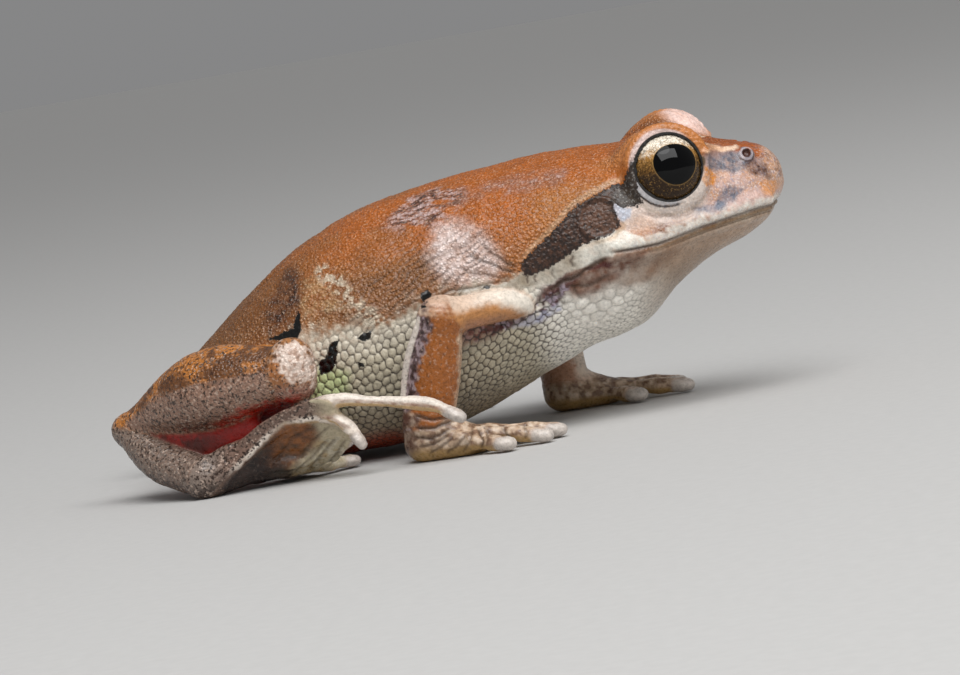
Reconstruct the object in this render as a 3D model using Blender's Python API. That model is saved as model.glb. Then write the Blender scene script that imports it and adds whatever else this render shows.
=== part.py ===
"""Whistling tree frog: a still, life-size model of a plump adult that sits with its head raised.

The frog looks along +X, its left side is +Y, and the floor is z = 0. The tables are in millimetres.
The trunk is lofted through cross-sections, the limbs through round or flattened rings. Each node is
fused from a few overlapping pieces with a voxel remesh, and then cut clear of the nodes that it grows
from, so that neighbours meet face to face.
"""

import math

import bpy
import numpy as np
from mathutils import Matrix, Vector
from mathutils.bvhtree import BVHTree

MM = 0.001
GAP = 0.3
CUT_REACH = 60.0
RIGHT, LEFT = -1, 1

# The trunk is drawn upright and then leans a little to the right, clear of the floor.
TRUNK_LEAN = math.radians(3.5)
TRUNK_RISE = 0.6

# Driving dimensions of the head. Places are length, distance from the plane of symmetry, and height.
EYE_RADIUS = 2.17
EYE_CENTRE = (15.0, 3.9, 13.3)
EYE_TURN_FORWARD = math.radians(13)
EYE_TURN_UP = math.radians(12)
EYE_MOUND = (2.9, 2.4, 2.5)
LID_RING_RADIUS = 2.25
LID_THICKNESS = 0.42
LID_OUT = 0.75
NOSTRIL_AT = (19.6, 1.75, 13.2)
NOSTRIL_RIM = 0.42
NOSTRIL_HOLE = 0.22
NOSTRIL_FACES = (0.25, 0.9, 0.35)
EARDRUM_AT = (11.2, 11.6)
EARDRUM_RADIUS = 1.15
EARDRUM_RIM = 0.2
LIP_THICKNESS = 0.34

# Trunk sections from vent to snout: x and z of the top, x and z of the bottom, half width, the share of
# the height at which the section is widest, and how square it is above and below that.
TRUNK_SECTIONS = (
    (-15.2, 4.6, -14.8, 3.6, 0.9, 0.5, 2.0, 2.0),
    (-14.7, 5.8, -14.0, 2.2, 2.4, 0.5, 2.0, 2.0),
    (-13.3, 7.2, -12.4, 1.0, 4.2, 0.45, 2.0, 2.1),
    (-10.8, 9.2, -10.0, 0.2, 6.0, 0.42, 2.0, 2.2),
    (-7.3, 11.7, -6.6, -0.15, 7.3, 0.40, 2.0, 2.3),
    (-3.8, 13.3, -3.4, -0.2, 8.0, 0.40, 2.0, 2.3),
    (-0.4, 14.1, -0.1, 0.2, 8.0, 0.42, 2.0, 2.2),
    (2.6, 14.55, 3.2, 1.2, 7.5, 0.45, 2.1, 2.1),
    (5.6, 14.85, 6.6, 2.6, 6.9, 0.48, 2.2, 2.0),
    (8.5, 15.0, 9.3, 3.6, 6.5, 0.50, 2.3, 2.0),
    (11.4, 14.9, 12.3, 4.4, 6.3, 0.50, 2.3, 2.0),
    (14.0, 14.8, 14.7, 6.15, 5.7, 0.46, 2.3, 2.0),
    (16.6, 14.45, 17.0, 7.6, 4.75, 0.42, 2.3, 2.0),
    (18.8, 13.95, 18.9, 8.45, 3.6, 0.38, 2.3, 2.0),
    (20.15, 13.3, 20.2, 9.2, 2.6, 0.38, 2.2, 2.0),
    (20.95, 12.3, 20.9, 10.0, 1.5, 0.42, 2.0, 2.0),
)
TRUNK_RINGS, TRUNK_SIDES = 60, 40
SNOUT_TIP, VENT_TIP = 0.4, 0.3

# Parting surfaces of the trunk, as lines in the plane of symmetry.
MOUTH_LINE = (
    (23.5, 10.2), (20.8, 9.95), (18.7, 9.85), (16.5, 9.75), (13.7, 9.5), (11.4, 9.4), (6.0, 8.9),
)
NECK_LINE = ((8.6, 30.0), (8.8, 15.0), (9.3, 10.0), (9.8, -10.0))

# Limbs: joints along each limb, and the half thickness at points along each length. Places are given
# with y as the distance from the plane of symmetry.
RIGHT_ARM = {"shoulder": (7.5, 5.9, 7.7), "elbow": (0.9, 9.3, 8.1), "wrist": (-0.3, 9.6, 1.9)}
LEFT_ARM = {"shoulder": (8.6, 5.0, 8.6), "elbow": (6.4, 10.0, 6.4), "wrist": (6.2, 5.8, 1.6)}
UPPER_ARM = (1.45, 1.15, 0.98, 1.0, 1.2)
FOREARM_WIDE = (1.25, 1.5, 1.55, 1.5, 1.3)
FOREARM_DEEP = (1.2, 1.25, 1.25, 1.15, 0.95)
HEEL_OF_HAND = (1.6, 1.35, 1.25)
PALM = (2.1, 1.55, 0.95)
WRIST_WIDE, WRIST_DEEP = (1.3, 1.25, 1.2), (1.0, 0.95, 0.9)
FINGER, FINGER_PAD = 0.46, 0.68

HIND_LEG = {"hip": (-12.0, 2.5, 3.8), "knee": (-7.3, 11.7, 6.4), "heel": (-17.6, 5.9, 4.1)}
RIGHT_ANKLE, LEFT_ANKLE = (-13.0, 10.4, 1.1), (-13.0, 10.4, 1.0)
THIGH = (2.6, 2.75, 2.5, 2.1, 1.7)
SHANK = (1.75, 1.7, 2.1, 2.35, 2.05, 1.35, 0.85)
TARSUS = (0.85, 1.1, 1.25, 1.2, 1.1)
SOLE_WIDE, SOLE_DEEP = (1.1, 1.5, 1.3), (1.0, 0.7, 0.5)
TOE, TOE_PAD = 0.44, 0.64
WEB_THICKNESS = 0.3
RIGHT_WEB_REACH, LEFT_WEB_REACH = 0.55, 0.6

# Ways of the fingers and toes, from the innermost to the outermost, as the points that each follows
# from the middle of the palm or the ankle to its tip.
RIGHT_FINGERS = (
    ((0.8, 9.2, 1.0), (2.9, 8.6, 0.75), (5.0, 7.6, 0.5)),
    ((0.8, 9.5, 1.1), (3.6, 9.0, 0.95), (6.7, 8.7, 0.5)),
    ((0.8, 9.8, 1.1), (3.4, 10.0, 0.95), (6.0, 10.3, 0.5)),
    ((0.8, 10.2, 1.0), (2.5, 11.0, 0.7), (4.0, 11.7, 0.5)),
)
LEFT_FINGERS = (
    ((7.0, 6.0, 1.0), (9.2, 5.0, 0.7), (10.9, 3.6, 0.5)),
    ((7.2, 6.1, 1.0), (10.2, 5.5, 0.85), (13.6, 4.9, 0.5)),
    ((7.2, 6.5, 1.0), (10.2, 6.8, 0.85), (13.2, 7.3, 0.5)),
    ((7.0, 6.9, 1.0), (9.0, 8.0, 0.7), (10.8, 9.4, 0.5)),
)
RIGHT_TOES = (
    ((-12.3, 10.3, 0.8), (-9.8, 9.2, 0.6), (-8.1, 7.4, 0.45)),
    ((-12.3, 10.4, 0.9), (-9.3, 9.8, 0.8), (-6.9, 8.7, 0.6), (-5.2, 7.2, 0.45)),
    ((-12.3, 10.6, 1.0), (-9.4, 10.5, 1.3), (-7.4, 10.3, 1.2), (-6.2, 10.2, 1.6), (-4.8, 10.2, 1.9)),
    (
        (-12.3, 10.9, 1.2), (-9.4, 11.3, 3.4), (-7.0, 11.8, 4.3),
        (-3.6, 12.2, 4.5), (-0.6, 12.4, 3.9), (1.6, 12.5, 3.0),
    ),
    (
        (-12.3, 11.0, 1.0), (-9.5, 11.5, 2.7), (-7.6, 11.8, 3.6),
        (-5.8, 12.0, 3.6), (-4.8, 12.1, 3.0), (-4.1, 12.1, 2.2),
    ),
)
LEFT_TOES = (
    ((-12.3, 10.5, 0.9), (-9.9, 10.2, 0.6), (-7.4, 9.6, 0.45)),
    ((-12.3, 10.7, 0.9), (-8.9, 11.0, 0.65), (-5.4, 10.6, 0.45)),
    ((-12.3, 10.9, 0.9), (-8.2, 12.0, 0.7), (-2.9, 12.4, 0.45)),
    ((-12.3, 11.1, 0.9), (-8.0, 12.8, 0.75), (-3.2, 14.2, 0.6), (0.9, 14.8, 0.45)),
    ((-12.3, 11.3, 0.9), (-9.2, 13.1, 0.65), (-6.3, 15.0, 0.5), (-3.8, 16.2, 0.45)),
)

# The grain at which each kind of body is fused, and about how many triangles it keeps.
TRUNK_GRAIN, LIMB_GRAIN, DIGIT_GRAIN = 0.2, 0.16, 0.13
TRUNK_TRIANGLES, ARM_TRIANGLES, HAND_TRIANGLES = 4400, 280, 640
THIGH_TRIANGLES, SHANK_TRIANGLES, TARSUS_TRIANGLES, FOOT_TRIANGLES = 360, 420, 280, 900

# Colour, roughness and metallic value of each kind of surface.
SKIN_BACK = ((0.42, 0.15, 0.05), 0.45, 0.0)
SKIN_BELLY = ((0.62, 0.54, 0.42), 0.5, 0.0)
SKIN_HAND = ((0.66, 0.50, 0.36), 0.45, 0.0)
EYE_GOLD = ((0.30, 0.20, 0.06), 0.12, 0.0)


def spline(rows, count):
    """Samples a smooth curve through the rows of a table, evenly in row number."""
    rows = np.asarray(rows, float)
    padded = np.vstack([2 * rows[0] - rows[1], rows, 2 * rows[-1] - rows[-2]])
    at = np.linspace(0, len(rows) - 1, count)
    first = np.minimum(at.astype(int), len(rows) - 2)
    f = (at - first)[:, None]
    a, b, c, d = (padded[first + k] for k in range(4))
    return 0.5 * (
        2 * b + (c - a) * f + (2 * a - 5 * b + 4 * c - d) * f**2 + (3 * b - a - 3 * c + d) * f**3
    )


def unit(v):
    v = np.asarray(v, float)
    return v / np.linalg.norm(v)


def mesh_object(name, points, faces):
    """A mesh object from points in the tables' millimetres."""
    mesh = bpy.data.meshes.new(name)
    mesh.from_pydata((np.asarray(points, float) * MM).tolist(), [], faces)
    mesh.validate()
    obj = bpy.data.objects.new(name, mesh)
    bpy.context.scene.collection.objects.link(obj)
    return obj


def loft(name, rings, start, end):
    """A closed mesh through rings of equal size, each end drawn to its tip point."""
    rings = np.asarray(rings)
    count, sides = rings.shape[:2]
    points = np.vstack([rings.reshape(-1, 3), [start], [end]])
    faces = []
    for i in range(count - 1):
        for j in range(sides):
            k = (j + 1) % sides
            faces.append((i * sides + j, i * sides + k, (i + 1) * sides + k, (i + 1) * sides + j))
    for j in range(sides):
        k = (j + 1) % sides
        faces.append((k, j, count * sides))
        faces.append(((count - 1) * sides + j, (count - 1) * sides + k, count * sides + 1))
    obj = mesh_object(name, points, faces)
    face_outwards(obj)
    return obj


def face_outwards(obj):
    """Turns a closed mesh's faces outwards."""
    volume = 0.0
    obj.data.calc_loop_triangles()
    points = [v.co for v in obj.data.vertices]
    for triangle in obj.data.loop_triangles:
        a, b, c = (points[i] for i in triangle.vertices)
        volume += a.dot(b.cross(c))
    if volume < 0:
        obj.data.flip_normals()


def power(value, exponent):
    return np.sign(value) * np.abs(value) ** exponent


def trunk_loft(name):
    """Head and torso in one smooth form, through the table of sections."""
    rings = []
    angles = np.arange(TRUNK_SIDES) * 2 * math.pi / TRUNK_SIDES
    for tx, tz, bx, bz, width, share, above, below in spline(TRUNK_SECTIONS, TRUNK_RINGS):
        top, bottom = np.array((tx, 0, tz)), np.array((bx, 0, bz))
        waist = bottom + share * (top - bottom)
        squareness = np.where(np.sin(angles) > 0, above, below)
        out = power(np.cos(angles), 2 / squareness) * width
        up = np.abs(power(np.sin(angles), 2 / squareness))[:, None]
        reach = np.where(np.sin(angles)[:, None] > 0, top - waist, bottom - waist)
        rings.append(waist + up * reach + out[:, None] * (0, 1, 0))
    tip = rings[-1].mean(axis=0) + (SNOUT_TIP, 0, 0)
    vent = rings[0].mean(axis=0) - (VENT_TIP, 0, 0)
    return loft(name, rings, vent, tip)


def tube(name, path, half_widths, half_depths=None, flat=(0, 0, 1), sides=14, spacing=0.35):
    """A round or flattened tube with rounded ends. flat is the way that its thin side faces."""
    half_depths = half_widths if half_depths is None else half_depths
    rows = np.column_stack([np.asarray(path, float), half_widths, half_depths])
    length = np.linalg.norm(np.diff(rows[:, :3], axis=0), axis=1).sum()
    rows = spline(rows, max(6, int(length / spacing)))
    centres, wide, deep = rows[:, :3], rows[:, 3], rows[:, 4]
    tangents = np.gradient(centres, axis=0)
    tangents /= np.linalg.norm(tangents, axis=1)[:, None]
    ends = []
    for index, way in ((0, -1), (-1, 1)):
        steps = np.radians((20, 40, 58, 74))
        bulge = min(wide[index], deep[index])
        ends.append([(centres[index] + way * tangents[index] * bulge * math.sin(s), wide[index] * math.cos(s),
                      deep[index] * math.cos(s), tangents[index]) for s in steps])
    body = list(zip(centres, wide, deep, tangents))
    stations = ends[0][::-1] + body + ends[1]
    angles = np.arange(sides) * 2 * math.pi / sides
    rings = []
    for centre, a, b, along in stations:
        up = unit(np.asarray(flat, float) - np.dot(flat, along) * along)
        side = np.cross(along, up)
        rings.append(centre + np.outer(np.cos(angles) * a, side) + np.outer(np.sin(angles) * b, up))
    start = centres[0] - tangents[0] * min(wide[0], deep[0])
    end = centres[-1] + tangents[-1] * min(wide[-1], deep[-1])
    return loft(name, rings, start, end)


def ball(name, centre, radii, segments=24, rings=16):
    """An ellipsoid."""
    levels = np.linspace(-math.pi / 2, math.pi / 2, rings + 1)[1:-1]
    turns = np.arange(segments) * 2 * math.pi / segments
    centre, radii = np.asarray(centre, float), np.broadcast_to(radii, 3)
    circles = [
        centre + radii * np.column_stack([np.cos(turns) * math.cos(v), np.sin(turns) * math.cos(v),
                                          np.full(segments, math.sin(v))])
        for v in levels
    ]
    return loft(name, circles, centre - (0, 0, radii[2]), centre + (0, 0, radii[2]))


def ring(name, centre, axis, radius, thickness, squash=1.0, segments=28, sides=10):
    """A torus round an axis, with its section squashed along that axis."""
    axis = unit(axis)
    first = unit(np.cross(axis, (0.0, 0.0, 1.0)))
    second = np.cross(axis, first)
    points, faces = [], []
    for i in range(segments):
        turn = i * 2 * math.pi / segments
        out = math.cos(turn) * first + math.sin(turn) * second
        for j in range(sides):
            tilt = j * 2 * math.pi / sides
            points.append(
                np.asarray(centre) + out * (radius + thickness * math.cos(tilt))
                + axis * thickness * squash * math.sin(tilt)
            )
            k, l = (i + 1) % segments, (j + 1) % sides
            faces.append((i * sides + j, k * sides + j, k * sides + l, i * sides + l))
    obj = mesh_object(name, points, faces)
    face_outwards(obj)
    return obj


def apply_modifiers(obj):
    """Replaces an object's mesh with what its modifiers make of it."""
    graph = bpy.context.evaluated_depsgraph_get()
    made = bpy.data.meshes.new_from_object(obj.evaluated_get(graph))
    old = obj.data
    obj.modifiers.clear()
    obj.data = made
    bpy.data.meshes.remove(old)


def remove(objects):
    for obj in objects:
        bpy.data.objects.remove(obj)


def fuse(name, pieces, grain, rounds, triangles):
    """Joins overlapping closed pieces into one smooth body of about that many triangles."""
    points, faces = [], []
    for piece in pieces:
        offset = len(points)
        points += [v.co.copy() for v in piece.data.vertices]
        faces += [[offset + i for i in p.vertices] for p in piece.data.polygons]
    mesh = bpy.data.meshes.new(name)
    mesh.from_pydata(points, [], faces)
    obj = bpy.data.objects.new(name, mesh)
    bpy.context.scene.collection.objects.link(obj)
    remove(pieces)
    remesh = obj.modifiers.new("Fuse", "REMESH")
    remesh.mode = "VOXEL"
    remesh.voxel_size = grain * MM
    smooth = obj.modifiers.new("Smooth", "SMOOTH")
    smooth.factor = 0.5
    smooth.iterations = rounds
    apply_modifiers(obj)
    keep_largest(obj)
    decimate = obj.modifiers.new("Decimate", "DECIMATE")
    obj.data.calc_loop_triangles()
    decimate.ratio = min(1.0, triangles / len(obj.data.loop_triangles))
    apply_modifiers(obj)
    return obj


def keep_largest(obj):
    """Keeps the closed surface with the largest box, and drops any scrap that a cut has left."""
    mesh = obj.data
    label = np.arange(len(mesh.vertices))
    edges = np.array([e.vertices[:] for e in mesh.edges])
    while True:
        low = np.minimum(label[edges[:, 0]], label[edges[:, 1]])
        before = label.copy()
        np.minimum.at(label, edges[:, 0], low)
        np.minimum.at(label, edges[:, 1], low)
        label = label[label]
        if (label == before).all():
            break
    places = np.array([v.co[:] for v in mesh.vertices])
    names = np.unique(label)
    if len(names) == 1:
        return
    sizes = [np.prod(np.ptp(places[label == n], axis=0)) for n in names]
    best = names[int(np.argmax(sizes))]
    number = np.cumsum(label == best) - 1
    kept = [[int(number[i]) for i in p.vertices] for p in mesh.polygons if label[p.vertices[0]] == best]
    fresh = bpy.data.meshes.new(mesh.name)
    fresh.from_pydata(places[label == best].tolist(), [], kept)
    obj.data = fresh
    bpy.data.meshes.remove(mesh)


def cut(obj, cutter):
    """Cuts one body from another, by MANIFOLD where EXACT leaves an open mesh."""
    before = obj.data.copy()
    for solver in ("EXACT", "MANIFOLD"):
        boolean = obj.modifiers.new("Cut", "BOOLEAN")
        boolean.operation = "DIFFERENCE"
        boolean.solver = solver
        boolean.object = cutter
        apply_modifiers(obj)
        if len(obj.data.polygons) and is_closed(obj):
            break
        obj.data = before.copy()
    bpy.data.meshes.remove(before)
    keep_largest(obj)


def is_closed(obj):
    count = {}
    for polygon in obj.data.polygons:
        for key in polygon.edge_keys:
            count[key] = count.get(key, 0) + 1
    return all(n == 2 for n in count.values())


def grown(obj, by=GAP):
    """A copy of a body that is larger by the gap all round, for use as a cutter."""
    copy = bpy.data.objects.new(obj.name + "_grown", obj.data.copy())
    bpy.context.scene.collection.objects.link(copy)
    places = np.array([v.co[:] for v in copy.data.vertices])
    normals = np.array([v.normal[:] for v in copy.data.vertices])
    copy.data.vertices.foreach_set("co", (places + normals * by * MM).ravel())
    copy.data.update()
    return copy


def clear_of(obj, *neighbours):
    """Cuts a node clear of the nodes that it grows from, leaving the gap."""
    for neighbour in neighbours:
        cutter = grown(neighbour)
        cut(obj, cutter)
        remove([cutter])


def half_space(name, line, way):
    """Everything on one side of a line in the plane of symmetry, as a block for cutting."""
    line = np.asarray(line, float)
    far = line + np.asarray(way, float) * CUT_REACH
    outline = np.vstack([line, far[::-1]])
    count, half = len(outline), len(line)
    points = [(x, side * CUT_REACH, z) for side in (-1, 1) for x, z in outline]
    faces = [(i, (i + 1) % count, count + (i + 1) % count, count + i) for i in range(count)]
    for offset in (0, count):
        for i in range(half - 1):
            quad = [offset + i, offset + i + 1, offset + count - 2 - i, offset + count - 1 - i]
            faces.append(quad if offset else quad[::-1])
    obj = mesh_object(name, points, faces)
    face_outwards(obj)
    return obj


def parted(whole, name, line, way):
    """The piece of a body on one side of a parting line, set back from it by half the gap."""
    piece = bpy.data.objects.new(name, whole.data.copy())
    bpy.context.scene.collection.objects.link(piece)
    line = spline(line, 4 * len(line))
    way = np.asarray(way, float)
    block = half_space(name + "_block", line + way * GAP / 2, -way)
    cut(piece, block)
    remove([block])
    return piece


def side_of(point, side):
    """A point of the right or left half, from its distance to the plane of symmetry."""
    return (point[0], side * point[1], point[2])


def eye_axis(side):
    forward, up = EYE_TURN_FORWARD, EYE_TURN_UP
    return np.array((math.sin(forward) * math.cos(up), side * math.cos(forward) * math.cos(up), math.sin(up)))


def surface_point(obj, x, z, side):
    """The point of a body's side at that length and height, and the way that it faces."""
    tree = BVHTree.FromPolygons([v.co for v in obj.data.vertices], [p.vertices for p in obj.data.polygons])
    start = Vector((x * MM, side * CUT_REACH * MM, z * MM))
    hit, normal, _, _ = tree.ray_cast(start, Vector((0, -side, 0)))
    return np.array(hit) / MM, np.array(normal)


def trim(obj, point, away):
    """Cuts off all of a body that lies beyond a plane, set back from it by half the gap."""
    away = unit(away)
    across = unit(np.cross(away, (0.31, 0.2, 0.93)))
    up = np.cross(away, across)
    near = np.asarray(point, float) - away * GAP / 2
    signs = ((-1, -1), (1, -1), (1, 1), (-1, 1))
    corners = [near + (across * s + up * t) * CUT_REACH for s, t in signs]
    points = corners + [c + away * CUT_REACH for c in corners]
    faces = [(3, 2, 1, 0), (4, 5, 6, 7)] + [(i, (i + 1) % 4, (i + 1) % 4 + 4, i + 4) for i in range(4)]
    block = mesh_object(obj.name + "_block", points, faces)
    face_outwards(block)
    cut(obj, block)
    remove([block])


def level(obj):
    """Gives a body a flat where it would reach below the floor."""
    trim(obj, (0, 0, -GAP / 2), (0, 0, -1))


def fold(joint, before, after):
    """The way across a folded joint's parting plane, from the length before it to the length after it."""
    return unit(unit(np.subtract(after, joint)) - unit(np.subtract(before, joint)))


def part_at(joint, before, after, first, second):
    """Parts two lengths of a limb at the plane that halves the angle between them."""
    across = fold(joint, before, after)
    trim(first, joint, across)
    trim(second, joint, -across)


def build_trunk():
    """Head, lower jaw and torso, parted along the mouth and the neck, and the two eyeballs."""
    body = trunk_loft("trunk_form")
    pieces = []
    for side in (RIGHT, LEFT):
        centre = np.array(side_of(EYE_CENTRE, side))
        pieces.append(ball("eye_mound", centre + (-0.25, -side * 0.55, 0.0), EYE_MOUND))
        facing = eye_axis(side)
        pieces.append(ring("lids", centre + facing * LID_OUT, facing, LID_RING_RADIUS, LID_THICKNESS))
        drum, facing = surface_point(body, *EARDRUM_AT, side)
        pieces.append(ring("eardrum_rim", drum, facing, EARDRUM_RADIUS, EARDRUM_RIM, 0.9))
        pieces.append(ball("nostril_rim", side_of(NOSTRIL_AT, side), NOSTRIL_RIM))
        mouth = spline(MOUTH_LINE[1:-1], 24)[1:]
        lip = [surface_point(body, x, z + LIP_THICKNESS, side)[0] for x, z in mouth]
        pieces.append(tube("lip", lip, [LIP_THICKNESS] * len(lip), sides=8))
    pieces.append(body)
    trunk = fuse("trunk", pieces, TRUNK_GRAIN, 5, TRUNK_TRIANGLES)
    for side in (RIGHT, LEFT):
        socket = ball("socket", side_of(EYE_CENTRE, side), EYE_RADIUS + GAP)
        cut(trunk, socket)
        rim = np.array(side_of(NOSTRIL_AT, side)) + unit(side_of(NOSTRIL_FACES, side)) * NOSTRIL_RIM * 0.83
        hole = ball("nostril_hole", rim, NOSTRIL_HOLE, 10, 8)
        cut(trunk, hole)
        remove([socket, hole])
    torso = parted(trunk, "torso", NECK_LINE, (-1, 0))
    front = parted(trunk, "front", NECK_LINE, (1, 0))
    head = parted(front, "head", MOUTH_LINE, (0, 1))
    jaw = parted(front, "lower_jaw", MOUTH_LINE, (0, -1))
    remove([front, trunk])
    finish(torso, "skin_back", SKIN_BACK)
    finish(head, "skin_back", SKIN_BACK)
    finish(jaw, "skin_belly", SKIN_BELLY)
    nodes = [torso, head, jaw]
    for name, side in (("eye_right", RIGHT), ("eye_left", LEFT)):
        eye = ball(name, side_of(EYE_CENTRE, side), EYE_RADIUS, 20, 12)
        finish(eye, "eye_gold", EYE_GOLD)
        nodes.append(eye)
    for obj in nodes:
        lean(obj)
    return torso, jaw


def lean(obj):
    """Tips a trunk node to the right about the line where the plane of symmetry meets the floor."""
    raised = Matrix.Translation((0, 0, TRUNK_RISE * MM))
    obj.data.transform(raised @ Matrix.Rotation(TRUNK_LEAN, 4, "X"))
    obj.data.update()


def joints_of(table, side):
    return {name: np.array(side_of(point, side)) for name, point in table.items()}


def digits(label, ways, side, thickness, pad):
    """Fingers or toes as round tubes that end in flattened discs."""
    pieces = []
    for way in ways:
        path = [side_of(p, side) for p in way]
        girth = np.linspace(thickness * 1.15, thickness, len(path))
        pieces.append(tube(label, path, girth, sides=10))
        tip = np.array(path[-1])
        along = unit(tip - path[-2])
        disc = [tip - along * 0.5, tip, tip + along * 0.35]
        wide, deep = [thickness, pad, pad * 0.8], [thickness * 0.9] * 3
        pieces.append(tube(label + "_disc", disc, wide, deep, sides=12))
    return pieces


def build_arm(word, side, joints, fingers, trunk):
    """Upper arm, forearm and hand, parted at the elbow and the wrist."""
    at = joints_of(joints, side)
    shoulder, elbow, wrist = at["shoulder"], at["elbow"], at["wrist"]
    knuckles = np.mean([side_of(way[1], side) for way in fingers], axis=0)
    upper_way = spline((shoulder, (shoulder + elbow) / 2 + (0, side * 0.3, 0.1), elbow), len(UPPER_ARM))
    upper = fuse("upper_arm_" + word, [tube("upper", upper_way, UPPER_ARM)], LIMB_GRAIN, 2, ARM_TRIANGLES)
    fore_way = spline((elbow, (elbow + wrist) / 2, wrist), len(FOREARM_WIDE))
    fore = tube("fore", fore_way, FOREARM_WIDE, FOREARM_DEEP, (0, 1, 0))
    fore = fuse("forearm_" + word, [fore], LIMB_GRAIN, 2, ARM_TRIANGLES)
    palm_middle = (wrist + knuckles) / 2
    palm_middle[2] = 0.75
    heel_of_hand = ball("heel_of_hand", (wrist[0], wrist[1], 1.0), HEEL_OF_HAND)
    palm = ball("palm", palm_middle, PALM)
    wrist_way = (wrist + (elbow - wrist) * 0.12, wrist, palm_middle)
    wrist_end = tube("wrist_end", wrist_way, WRIST_WIDE, WRIST_DEEP, (0, 1, 0.2))
    pieces = [heel_of_hand, palm, wrist_end] + digits("finger", fingers, side, FINGER, FINGER_PAD)
    hand = fuse("hand_" + word, pieces, DIGIT_GRAIN, 2, HAND_TRIANGLES)
    part_at(elbow, shoulder, wrist, upper, fore)
    part_at(wrist, elbow, (wrist + knuckles) / 2, fore, hand)
    clear_of(upper, *trunk)
    clear_of(fore, *trunk)
    level(hand)
    for obj in (upper, fore):
        finish(obj, "skin_back", SKIN_BACK)
    finish(hand, "skin_hand", SKIN_HAND)


def web_between(first, second, side, start, reach):
    """A thin membrane from the foot out along two neighbouring toes."""
    one = spline([side_of(p, side) for p in first], 9)
    two = spline([side_of(p, side) for p in second], 9)
    last = max(start + 2, int(reach * 8))
    middles = [(one[i] + two[i]) / 2 for i in range(start, last + 1)]
    spans = [max(0.35, np.linalg.norm(one[i] - two[i]) / 2) for i in range(start, last + 1)]
    spans[-1] *= 0.35
    across = unit(one[last] - two[last])
    along = unit(middles[-1] - middles[0])
    return tube("web", middles, spans, [WEB_THICKNESS] * len(middles), np.cross(across, along), sides=12)


def build_leg(word, side, ankle, toes, torso, web_reach):
    """Thigh, shank, tarsus and foot, parted at the knee, the heel and the ankle."""
    at = joints_of(HIND_LEG, side)
    hip, knee, heel = at["hip"], at["knee"], at["heel"]
    ankle = np.array(side_of(ankle, side))
    instep = np.mean([side_of(way[1], side) for way in toes], axis=0)
    thigh_way = spline((hip, (hip + knee) / 2 + (0, 0, 0.2), knee), len(THIGH))
    shank_way = spline((knee, (knee + heel) / 2 + (0, side * 0.25, 0.55), heel), len(SHANK))
    tarsus_way = spline((heel, (heel + ankle) / 2 + (-0.3, 0, -0.35), ankle), len(TARSUS))
    thigh = fuse("thigh_" + word, [tube("thigh", thigh_way, THIGH)], TRUNK_GRAIN, 2, THIGH_TRIANGLES)
    shank = fuse("shank_" + word, [tube("shank", shank_way, SHANK)], LIMB_GRAIN, 2, SHANK_TRIANGLES)
    tarsus = fuse("tarsus_" + word, [tube("tarsus", tarsus_way, TARSUS)], LIMB_GRAIN, 2, TARSUS_TRIANGLES)
    sole = [side_of(p, side) for p in (toes[1][1], toes[3][1])]
    sole_middle = np.mean(sole, axis=0)
    sole_faces = np.cross(np.subtract(*sole), instep - ankle)
    pieces = digits("toe", toes, side, TOE, TOE_PAD)
    pieces.append(ball("ankle_end", ankle, TARSUS[-1]))
    for first, second in zip(toes[:-1], toes[1:]):
        pieces.append(web_between(first, second, side, 1, web_reach))
    sole_way = (ankle, (ankle + sole_middle) / 2, sole_middle)
    pieces.append(tube("sole", sole_way, SOLE_WIDE, SOLE_DEEP, sole_faces))
    foot = fuse("foot_" + word, pieces, DIGIT_GRAIN, 2, FOOT_TRIANGLES)
    part_at(knee, hip, heel, thigh, shank)
    part_at(heel, knee, ankle, shank, tarsus)
    part_at(ankle, heel, instep, tarsus, foot)
    clear_of(thigh, torso)
    clear_of(shank, torso)
    clear_of(tarsus, thigh, torso)
    clear_of(foot, torso)
    for obj in (tarsus, foot, thigh):
        level(obj)
    for obj in (thigh, shank, tarsus):
        finish(obj, "skin_back", SKIN_BACK)
    finish(foot, "skin_hand", SKIN_HAND)


def finish(obj, kind, values):
    """Gives a node its material and smooth shading."""
    colour, roughness, metallic = values
    material = bpy.data.materials.get(kind)
    if material is None:
        material = bpy.data.materials.new(kind)
        material.use_nodes = True
        shader = material.node_tree.nodes["Principled BSDF"]
        shader.inputs["Base Color"].default_value = (*colour, 1.0)
        shader.inputs["Roughness"].default_value = roughness
        shader.inputs["Metallic"].default_value = metallic
    obj.data.materials.clear()
    obj.data.materials.append(material)
    obj.data.shade_smooth()
    obj.data.set_sharp_from_angle(angle=math.radians(40))


def clear_scene():
    for obj in list(bpy.data.objects):
        bpy.data.objects.remove(obj)


def stand_on_origin():
    """Moves the whole frog so that the middle of its box stands over the origin."""
    nodes = list(bpy.data.objects)
    corners = np.array([v.co[:] for obj in nodes for v in obj.data.vertices])
    low, high = corners.min(axis=0), corners.max(axis=0)
    shift = Vector((-(low[0] + high[0]) / 2, -(low[1] + high[1]) / 2, -low[2]))
    for obj in nodes:
        obj.data.transform(Matrix.Translation(shift))
    return shift


clear_scene()
whole_trunk = build_trunk()
build_arm("right", RIGHT, RIGHT_ARM, RIGHT_FINGERS, whole_trunk)
build_arm("left", LEFT, LEFT_ARM, LEFT_FINGERS, whole_trunk)
build_leg("right", RIGHT, RIGHT_ANKLE, RIGHT_TOES, whole_trunk[0], RIGHT_WEB_REACH)
build_leg("left", LEFT, LEFT_ANKLE, LEFT_TOES, whole_trunk[0], LEFT_WEB_REACH)
frog_shift = stand_on_origin()
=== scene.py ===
"""A whistling tree frog as a museum would model it: one cast skin over the whole body, glass eyes set
behind the lids, resting on a pale studio floor. Lengths in the tables are millimetres.
"""

import math

import bpy
import numpy as np
import openvdb
from mathutils import Matrix, Vector


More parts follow.
